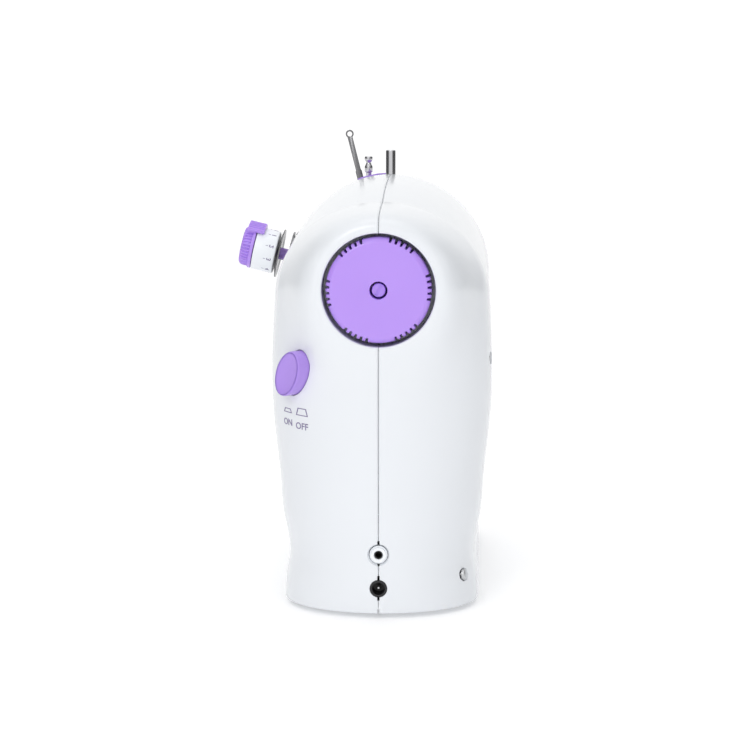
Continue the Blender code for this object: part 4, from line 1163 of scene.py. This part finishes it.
class SEWING_OT_needle(bpy.types.Operator):
    """Turn the needle bar, the clamp, its knurled screw and the needle."""
    bl_idname = "sewing.needle"
    bl_label = "Needle bar and needle"

    def execute(self, context):
        at = (NEEDLE_X, 0, 0)
        bar = [(0, 0.0953), (0.0025, 0.0953), (0.0025, 0.1290), (0.0036, 0.1290),
               (0.0036, 0.1370), (0.0025, 0.1370), (0.0025, 0.1810), (0, 0.1810)]
        bar = carved(turned(eased(bar, 0.0003), at, steps=48),
                     [rod(0.0015, (-0.0735, 0, 0.133), (-0.0672, 0, 0.133), 24)], "UNION")
        piece("needle_shaft", bar, "chrome", "needle_carrier", ["needle_bar"])
        clamp = [(0.0011, 0), (0.0040, 0), (0.0040, 0.0080), (0.0028, 0.0080), (0.0028, 0.0027),
                 (0.0011, 0.0027)]
        clamp = turned(eased(clamp, 0.0004) + [clamp[0]], (NEEDLE_X, 0, 0.0922))
        piece("needle_holder", clamp, "chrome", "needle_carrier", ["needle_clamp"])
        knurls = 24
        screw = [(0, 0), (0.0012, 0), (0.0012, 0.0020), (0.0028, 0.0020), (0.0028, 0.0052),
                 (0, 0.0052)]
        screw = turned(eased(screw, 0.0004), steps=knurls * 4)
        for vert in screw.verts:
            if hypot(vert.co.x, vert.co.y) > 0.0024:
                turn = round(atan2(vert.co.y, vert.co.x) / (2 * pi) * knurls * 4) % 4
                if turn in (2, 3):
                    vert.co.x *= 0.92
                    vert.co.y *= 0.92
        slot = block((-0.0004, -0.004, 0.0046), (0.0004, 0.004, 0.006))
        screw = stood(carved(screw, [slot]), (-0.0697, 0, 0.0945), X_AXIS)
        piece("clamp_thumb_screw", screw, "chrome", "clamp_screw",
              ["needle_clamp_screw"])
        point = [(0, 0), (0.00018, 0.0012), (0.00032, 0.0025), (0.00045, 0.0045),
                 (0.0005, 0.007), (0.0005, 0.0178), (0.00055, 0.0186), (0.0008, 0.0196),
                 (0.0008, 0.0284), (0, 0.0284)]
        needle = turned(point, (NEEDLE_X, 0, 0.066), steps=24)
        eye = block((NEEDLE_X - 0.0002, -0.002, 0.0695), (NEEDLE_X + 0.0002, 0.002, 0.0707))
        needle = carved(needle, [eye])
        piece("needle_point", needle, "needle_steel", "needle_carrier", ["needle"])
        return {"FINISHED"}


class SEWING_OT_presser(bpy.types.Operator):
    """Finish the presser bar, its shank, the foot with its upturned toe, and the lifter."""
    bl_idname = "sewing.presser"
    bl_label = "Presser foot and lifter"

    def execute(self, context):
        at = (NEEDLE_X, PRESSER_Y, 0)
        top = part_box("presser_bar")[1].z
        bar = [(0, 0.0752), (0.0030, 0.0752), (0.0030, 0.1180), (0.0037, 0.1180),
               (0.0037, 0.1215), (0.0030, 0.1215), (0.0030, top), (0, top)]
        arm = block((-0.0745, 0.0172, 0.1182), (-0.0570, 0.0300, 0.1212))
        bar = carved(turned(eased(bar, 0.0003), at, steps=48), [arm], "UNION")
        piece("presser_rod", bar, "chrome", "presser", ["presser_bar"])
        self.coil(at)
        shank = from_frame("presser_shank", 0.0004, 2)
        piece("presser_ankle", shank, "chrome", "presser", ["presser_shank"])
        piece("presser_sole", from_frame("presser_foot", 0.0003, 2), "chrome", "foot",
              ["presser_foot"])
        piece("foot_lifter", from_frame("presser_lifter", 0.0007, 3), "white_plastic",
              "lifter", ["presser_lifter"])
        return {"FINISHED"}

    def coil(self, at):
        """The spring over the presser bar, held at its top."""
        low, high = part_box("presser_spring")
        gauge, steps, turns = 0.0003, 32, 8
        middle = (high.x - low.x) / 2 - gauge
        start, end = low.z + gauge, high.z - gauge
        path = []
        for i in range(steps * turns + 1):
            share, angle = i / (steps * turns), 2 * pi * i / steps
            path.append(Vector((at[0] + middle * cos(angle), at[1] + middle * sin(angle),
                                start + (end - start) * share)))
        made = piece("presser_coil", wire(path, gauge), "steel", "machine",
                     ["presser_spring"])
        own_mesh(made)


# ---- bed ------------------------------------------------------------------------------

class SEWING_OT_bed(bpy.types.Operator):
    """Finish the needle plate, the bobbin cover, the feed teeth, hook, case and bobbin."""
    bl_idname = "sewing.bed"
    bl_label = "Bed fittings"

    def execute(self, context):
        self.needle_plate()
        self.cover()
        self.feed()
        self.hook()
        return {"FINISHED"}

    def needle_plate(self):
        shape = from_frame("needle_plate", 0.00025, 2)
        low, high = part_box("needle_plate")
        lines = []
        for i in range(5):
            x = -0.0665 + 0.0025 * i
            lines.append(block((x - 0.0001, -0.005, high.z - 0.0001), (x + 0.0001, 0.005,
                                                                       high.z + 0.001)))
        shape = carved(shape, [gathered(*lines)])
        screws = [turned([(0, 0.0008), (0.0019, 0.0008), (0.0019, 0.003), (0, 0.003)],
                         (x, y, high.z - 0.0016), steps=32)
                  for x, y in ((-0.0880, 0.0195), (-0.0590, 0.0195))]
        shape = carved(shape, [gathered(*screws)])
        piece("stitch_plate", shape, "chrome", "machine", ["needle_plate"])
        heads = []
        for x, y in ((-0.0880, 0.0195), (-0.0590, 0.0195)):
            head = turned(eased([(0, 0), (0.0018, 0), (0.0018, 0.0006), (0, 0.0007)], 0.0002),
                          (x, y, high.z - 0.0007), steps=32)
            slot = block((x - 0.0003, y - 0.003, high.z - 0.0003), (x + 0.0003, y + 0.003,
                                                                  high.z + 0.001))
            heads.append(carved(head, [slot]))
        piece("stitch_plate_screws", gathered(*heads), "steel", "machine")

    def cover(self):
        shape = from_frame("bobbin_cover", 0.0003, 2)
        low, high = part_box("bobbin_cover")
        grips = []
        for i in range(4):
            y = low.y - STAND.y + 0.0035 + 0.0014 * i
            grips.append(block((NEEDLE_X - 0.006, y, high.z - 0.0005), (NEEDLE_X + 0.006,
                                                                      y + 0.0006,
                                                                      high.z + 0.001)))
        shape = carved(shape, [gathered(*grips)])
        piece("slide_cover", shape, "smoked_plastic", "cover",
              ["bobbin_cover"])

    def feed(self):
        shape = from_frame("feed_dog")
        low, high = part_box("feed_dog")
        cuts = []
        for i in range(9):
            y = low.y - STAND.y + 0.0012 + 0.0013 * i
            tooth = block((low.x - 0.001, -0.0004, -0.0004), (high.x + 0.001, 0.0004, 0.0004))
            bmesh.ops.rotate(tooth, cent=(0, 0, 0), verts=tooth.verts,
                             matrix=Quaternion((1, 0, 0), radians(45)).to_matrix())
            bmesh.ops.translate(tooth, vec=(0, y, high.z + 0.0001), verts=tooth.verts)
            cuts.append(tooth)
        piece("feed_teeth", carved(shape, [gathered(*cuts)]), "steel", "feed",
              ["feed_dog"])

    def hook(self):
        at = (NEEDLE_X, -0.0165, 0)
        hook = [(0, 0.0172), (0.0025, 0.0172), (0.0025, 0.0214), (0.0052, 0.0214),
                (0.0052, 0.0266), (0.0035, 0.0266), (0.0035, 0.036), (0.0140, 0.036),
                (0.0140, 0.050), (0.0129, 0.050), (0.0129, 0.038), (0, 0.038)]
        piece("hook_cup", turned(eased(hook, 0.0003), at, steps=64), "steel", "hook",
              ["rotary_hook"])
        case = [(0, 0.0386), (0.0125, 0.0386), (0.0125, 0.0505), (0.0110, 0.0505),
                (0.0110, 0.0402), (0.0026, 0.0402), (0.0026, 0.0500), (0, 0.0500)]
        piece("bobbin_holder", turned(eased(case, 0.0003), at, steps=64), "black_plastic",
              "machine", ["bobbin_case"])
        spool = [(0.0030, 0.0408), (0.0102, 0.0408), (0.0102, 0.0418), (0.0045, 0.0418),
                 (0.0045, 0.0510), (0.0102, 0.0510), (0.0102, 0.0520), (0.0030, 0.0520)]
        piece("clear_bobbin", turned(eased(spool, 0.0002) + [spool[0]], at, steps=64),
              "clear_plastic", "bobbin", ["bobbin"])


# ---- sockets, lamp and base -------------------------------------------------------------

class SEWING_OT_sockets(bpy.types.Operator):
    """Turn the foot pedal socket, the power socket with its centre pin, and the lamp."""
    bl_idname = "sewing.sockets"
    bl_label = "Sockets and lamp"

    def execute(self, context):
        jack = [(0, 0), (0.0040, 0), (0.0040, 0.0122), (0.0033, 0.0126), (0.0033, 0.0135),
                (0.0021, 0.0135), (0.0019, 0.0130), (0.0019, 0.0040), (0, 0.0040)]
        shape = turned(eased(jack, 0.0002), (0.0845, 0, PEDAL_Z), X_AXIS, 96)
        piece("pedal_socket", shape, "drum_plastic", "machine", ["pedal_jack"])
        liner = [(0, 0.0042), (0.0017, 0.0042), (0.0017, 0.0124), (0.0014, 0.0124),
                 (0.0014, 0.0044), (0, 0.0044)]
        shape = turned(liner, (0.0845, 0, PEDAL_Z), X_AXIS, 48)
        piece("pedal_contact", shape, "black_plastic", "machine")
        barrel = [(0, 0), (0.0036, 0), (0.0036, 0.0128), (0.0028, 0.0128), (0.0028, 0.0050),
                  (0.0008, 0.0050), (0.0008, 0.0052), (0, 0.0052)]
        shape = turned(eased(barrel, 0.0002), (0.0850, 0, POWER_Z), X_AXIS, 96)
        piece("power_socket", shape, "black_plastic", "machine",
              ["power_jack"])
        pin = [(0, 0.0054), (0.0008, 0.0054), (0.0008, 0.0106), (0.0004, 0.0110), (0, 0.0110)]
        piece("power_pin", turned(pin, (0.0850, 0, POWER_Z), X_AXIS, 32), "chrome", "machine")
        lens = [(0, 0), (0.0016, 0.0001), (0.0028, 0.0005), (0.0036, 0.0011), (0.0040, 0.0019),
                (0.0040, 0.0042), (0, 0.0042)]
        piece("lamp_window", turned(lens, (-0.060, -0.016, 0.1000), steps=48), "lamp_lens",
              "machine", ["sewing_lamp"])
        return {"FINISHED"}


class SEWING_OT_base(bpy.types.Operator):
    """Make the rubber feet, the recessed case screws and the battery door."""
    bl_idname = "sewing.base"
    bl_label = "Feet, screws and battery door"

    def execute(self, context):
        foot = [(0, 0), (0.0030, 0), (0.0033, 0.0002), (0.0044, 0), (0.0050, 0.0006),
                (0.0050, 0.0021), (0.0020, 0.0021), (0.0020, 0.0056), (0, 0.0056)]
        for name, x, y in FEET:
            piece(name.replace("foot", "pad"), turned(eased(foot, 0.0002), (x, y, 0)), "rubber",
                  "machine", [name])
        for name, start, end in SCREWS:
            self.screw(name, Vector(start), (Vector(end) - Vector(start)).normalized())
        door = from_frame("battery_door", 0.0004, 2)
        low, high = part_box("battery_door")
        ribs = []
        for i in range(6):
            x = low.x + 0.0050 + 0.0018 * i
            ribs.append(block((x, -0.009, low.z - 0.001), (x + 0.0008, 0.009, low.z + 0.0006)))
        door = carved(door, [gathered(*ribs)])
        piece("battery_hatch", door, "white_plastic", "battery_hatch",
              ["battery_door"])
        return {"FINISHED"}

    def screw(self, name, start, inward):
        head = [(0, 0.0006), (0.0021, 0.0007), (0.0026, 0.0011), (0.0026, 0.0025),
                (0.0013, 0.0025), (0.0013, 0.0036), (0, 0.0036)]
        head = turned(eased(head, 0.0002), steps=48)
        for turn in (0, 90):
            arm = block((-0.0018, -0.0004, 0), (0.0018, 0.0004, 0.0016))
            bmesh.ops.rotate(arm, cent=(0, 0, 0), verts=arm.verts,
                             matrix=Quaternion((0, 0, 1), radians(turn + 20)).to_matrix())
            head = carved(head, [arm])
        piece(name.replace("case_screw", "cross_screw"), stood(head, start, inward), "steel",
              "machine", [name])


class SEWING_OT_works(bpy.types.Operator):
    """Give the frame, drive and electrics inside the casing their finishes."""
    bl_idname = "sewing.works"
    bl_label = "Inner works"

    def execute(self, context):
        for node, material in WORKS.items():
            dress(node, material)
        return {"FINISHED"}


WORKS = {
    "main_frame": "cast_metal", "main_shaft": "steel", "lower_shaft": "steel",
    "drive_gear": "nylon", "upper_pulley": "nylon", "lower_pulley": "nylon",
    "hook_drive_gear": "nylon", "timing_belt": "rubber", "shaft_bush_left": "bronze",
    "shaft_bush_right": "bronze", "motor": "steel", "motor_pinion": "steel",
    "crank_disc": "steel", "crank_link": "steel",
    "circuit_board": "board_green", "battery_box": "black_plastic",
}


# ---- stage ----------------------------------------------------------------------------

class SEWING_OT_stage(bpy.types.Operator):
    """Set the pale floor, the soft studio lights and the camera."""
    bl_idname = "sewing.stage"
    bl_label = "Stage"

    def execute(self, context):
        self.floor()
        self.lights()
        self.camera(context)
        return {"FINISHED"}

    def floor(self):
        shape = bmesh.new()
        bmesh.ops.create_grid(shape, x_segments=2, y_segments=2, size=4.0)
        mesh = bpy.data.meshes.new("floor")
        shape.to_mesh(mesh)
        shape.free()
        made = Recipe("floor_paint")
        made.tint(made.noise(3.0), (0.90, 0.90, 0.905), (0.91, 0.91, 0.915))
        made.set(roughness=0.6, emission_strength=0.22)
        made.shader.inputs["Emission Color"].default_value = (1, 1, 1, 1)
        mesh.materials.append(made.material)
        floor = bpy.data.objects.new("floor", mesh)
        bpy.context.scene.collection.objects.link(floor)

    def lights(self):
        world = bpy.data.worlds.new("studio")
        world.use_nodes = True
        nodes, links = world.node_tree.nodes, world.node_tree.links
        direction = nodes.new("ShaderNodeTexCoord").outputs["Generated"]
        parts = nodes.new("ShaderNodeSeparateXYZ")
        links.new(direction, parts.inputs["Vector"])
        sideways = nodes.new("ShaderNodeMath")
        sideways.operation = "ABSOLUTE"
        links.new(parts.outputs["Y"], sideways.inputs[0])
        dimmed = nodes.new("ShaderNodeMapRange")
        dimmed.inputs["From Min"].default_value = 0.5
        dimmed.inputs["From Max"].default_value = 0.8
        dimmed.inputs["To Min"].default_value = 1.08
        dimmed.inputs["To Max"].default_value = 0.12
        links.new(sideways.outputs["Value"], dimmed.inputs["Value"])
        seen = nodes.new("ShaderNodeMath")
        seen.operation = "MAXIMUM"
        links.new(nodes.new("ShaderNodeLightPath").outputs["Is Camera Ray"], seen.inputs[0])
        links.new(dimmed.outputs["Result"], seen.inputs[1])
        links.new(seen.outputs["Value"], nodes["Background"].inputs["Strength"])
        nodes["Background"].inputs["Color"].default_value = (1, 1, 1, 1)
        bpy.context.scene.world = world
        bpy.context.scene.view_settings.view_transform = "Standard"
        for name, at, size, power in (("key", (1.3, -0.4, 0.9), 0.5, 2.8),
                                      ("left", (0.5, -1.3, 0.7), 0.4, 0.5),
                                      ("right", (0.4, 1.3, 0.7), 0.4, 0.4),
                                      ("top", (0.1, 0.0, 1.4), 0.8, 1.4)):
            lamp = bpy.data.lights.new(name, "AREA")
            lamp.size = size
            lamp.energy = power
            item = bpy.data.objects.new(name, lamp)
            item.location = at
            aim = Vector((0.05, 0, 0.10)) - Vector(at)
            item.rotation_euler = aim.to_track_quat("-Z", "Y").to_euler()
            bpy.context.scene.collection.objects.link(item)

    def camera(self, context):
        lens = bpy.data.cameras.new("camera")
        lens.sensor_width = 36.0
        lens.lens = 113.0
        lens.clip_start = 0.05
        camera = bpy.data.objects.new("camera", lens)
        camera.location = Vector((1.102, 0.0439, 0.2416)) + STAND
        aim, down = radians(2.7), radians(7.5)
        gaze = Vector((-cos(aim) * cos(down), -sin(aim) * cos(down), -sin(down)))
        camera.rotation_euler = gaze.to_track_quat("-Z", "Y").to_euler()
        context.scene.collection.objects.link(camera)
        context.scene.camera = camera


class SEWING_PT_panel(bpy.types.Panel):
    """The sewing machine's pieces, in the order they are made."""
    bl_idname = "SEWING_PT_panel"
    bl_label = "Sewing machine"
    bl_space_type = "VIEW_3D"
    bl_region_type = "UI"
    bl_category = "Sewing"

    def draw(self, context):
        layout = self.layout
        for kind in GROUPS:
            box = layout.box()
            settings = getattr(context.scene, "sewing_" + kind)
            for name in settings.__annotations__:
                box.prop(settings, name)
        for operator in OPERATORS:
            layout.operator(operator.bl_idname)


GROUPS = {"casing": CasingSizes, "wheel": WheelSizes, "dial": DialSizes,
          "finish": FinishColours}
OPERATORS = (SEWING_OT_stage, SEWING_OT_casing, SEWING_OT_top_strip, SEWING_OT_handwheel,
             SEWING_OT_button, SEWING_OT_marks, SEWING_OT_tension, SEWING_OT_top_fittings,
             SEWING_OT_needle, SEWING_OT_presser, SEWING_OT_bed, SEWING_OT_sockets,
             SEWING_OT_base, SEWING_OT_works)


def register():
    for item in (*GROUPS.values(), *OPERATORS, SEWING_PT_panel):
        bpy.utils.register_class(item)
    for kind, group in GROUPS.items():
        setattr(bpy.types.Scene, "sewing_" + kind, bpy.props.PointerProperty(type=group))


def unregister():
    for kind in GROUPS:
        delattr(bpy.types.Scene, "sewing_" + kind)
    for item in reversed((*GROUPS.values(), *OPERATORS, SEWING_PT_panel)):
        bpy.utils.unregister_class(item)


def main():
    register()
    finishes()
    for operator in OPERATORS:
        group, name = operator.bl_idname.split(".")
        getattr(getattr(bpy.ops, group), name)()


if __name__ == "__main__":
    main()
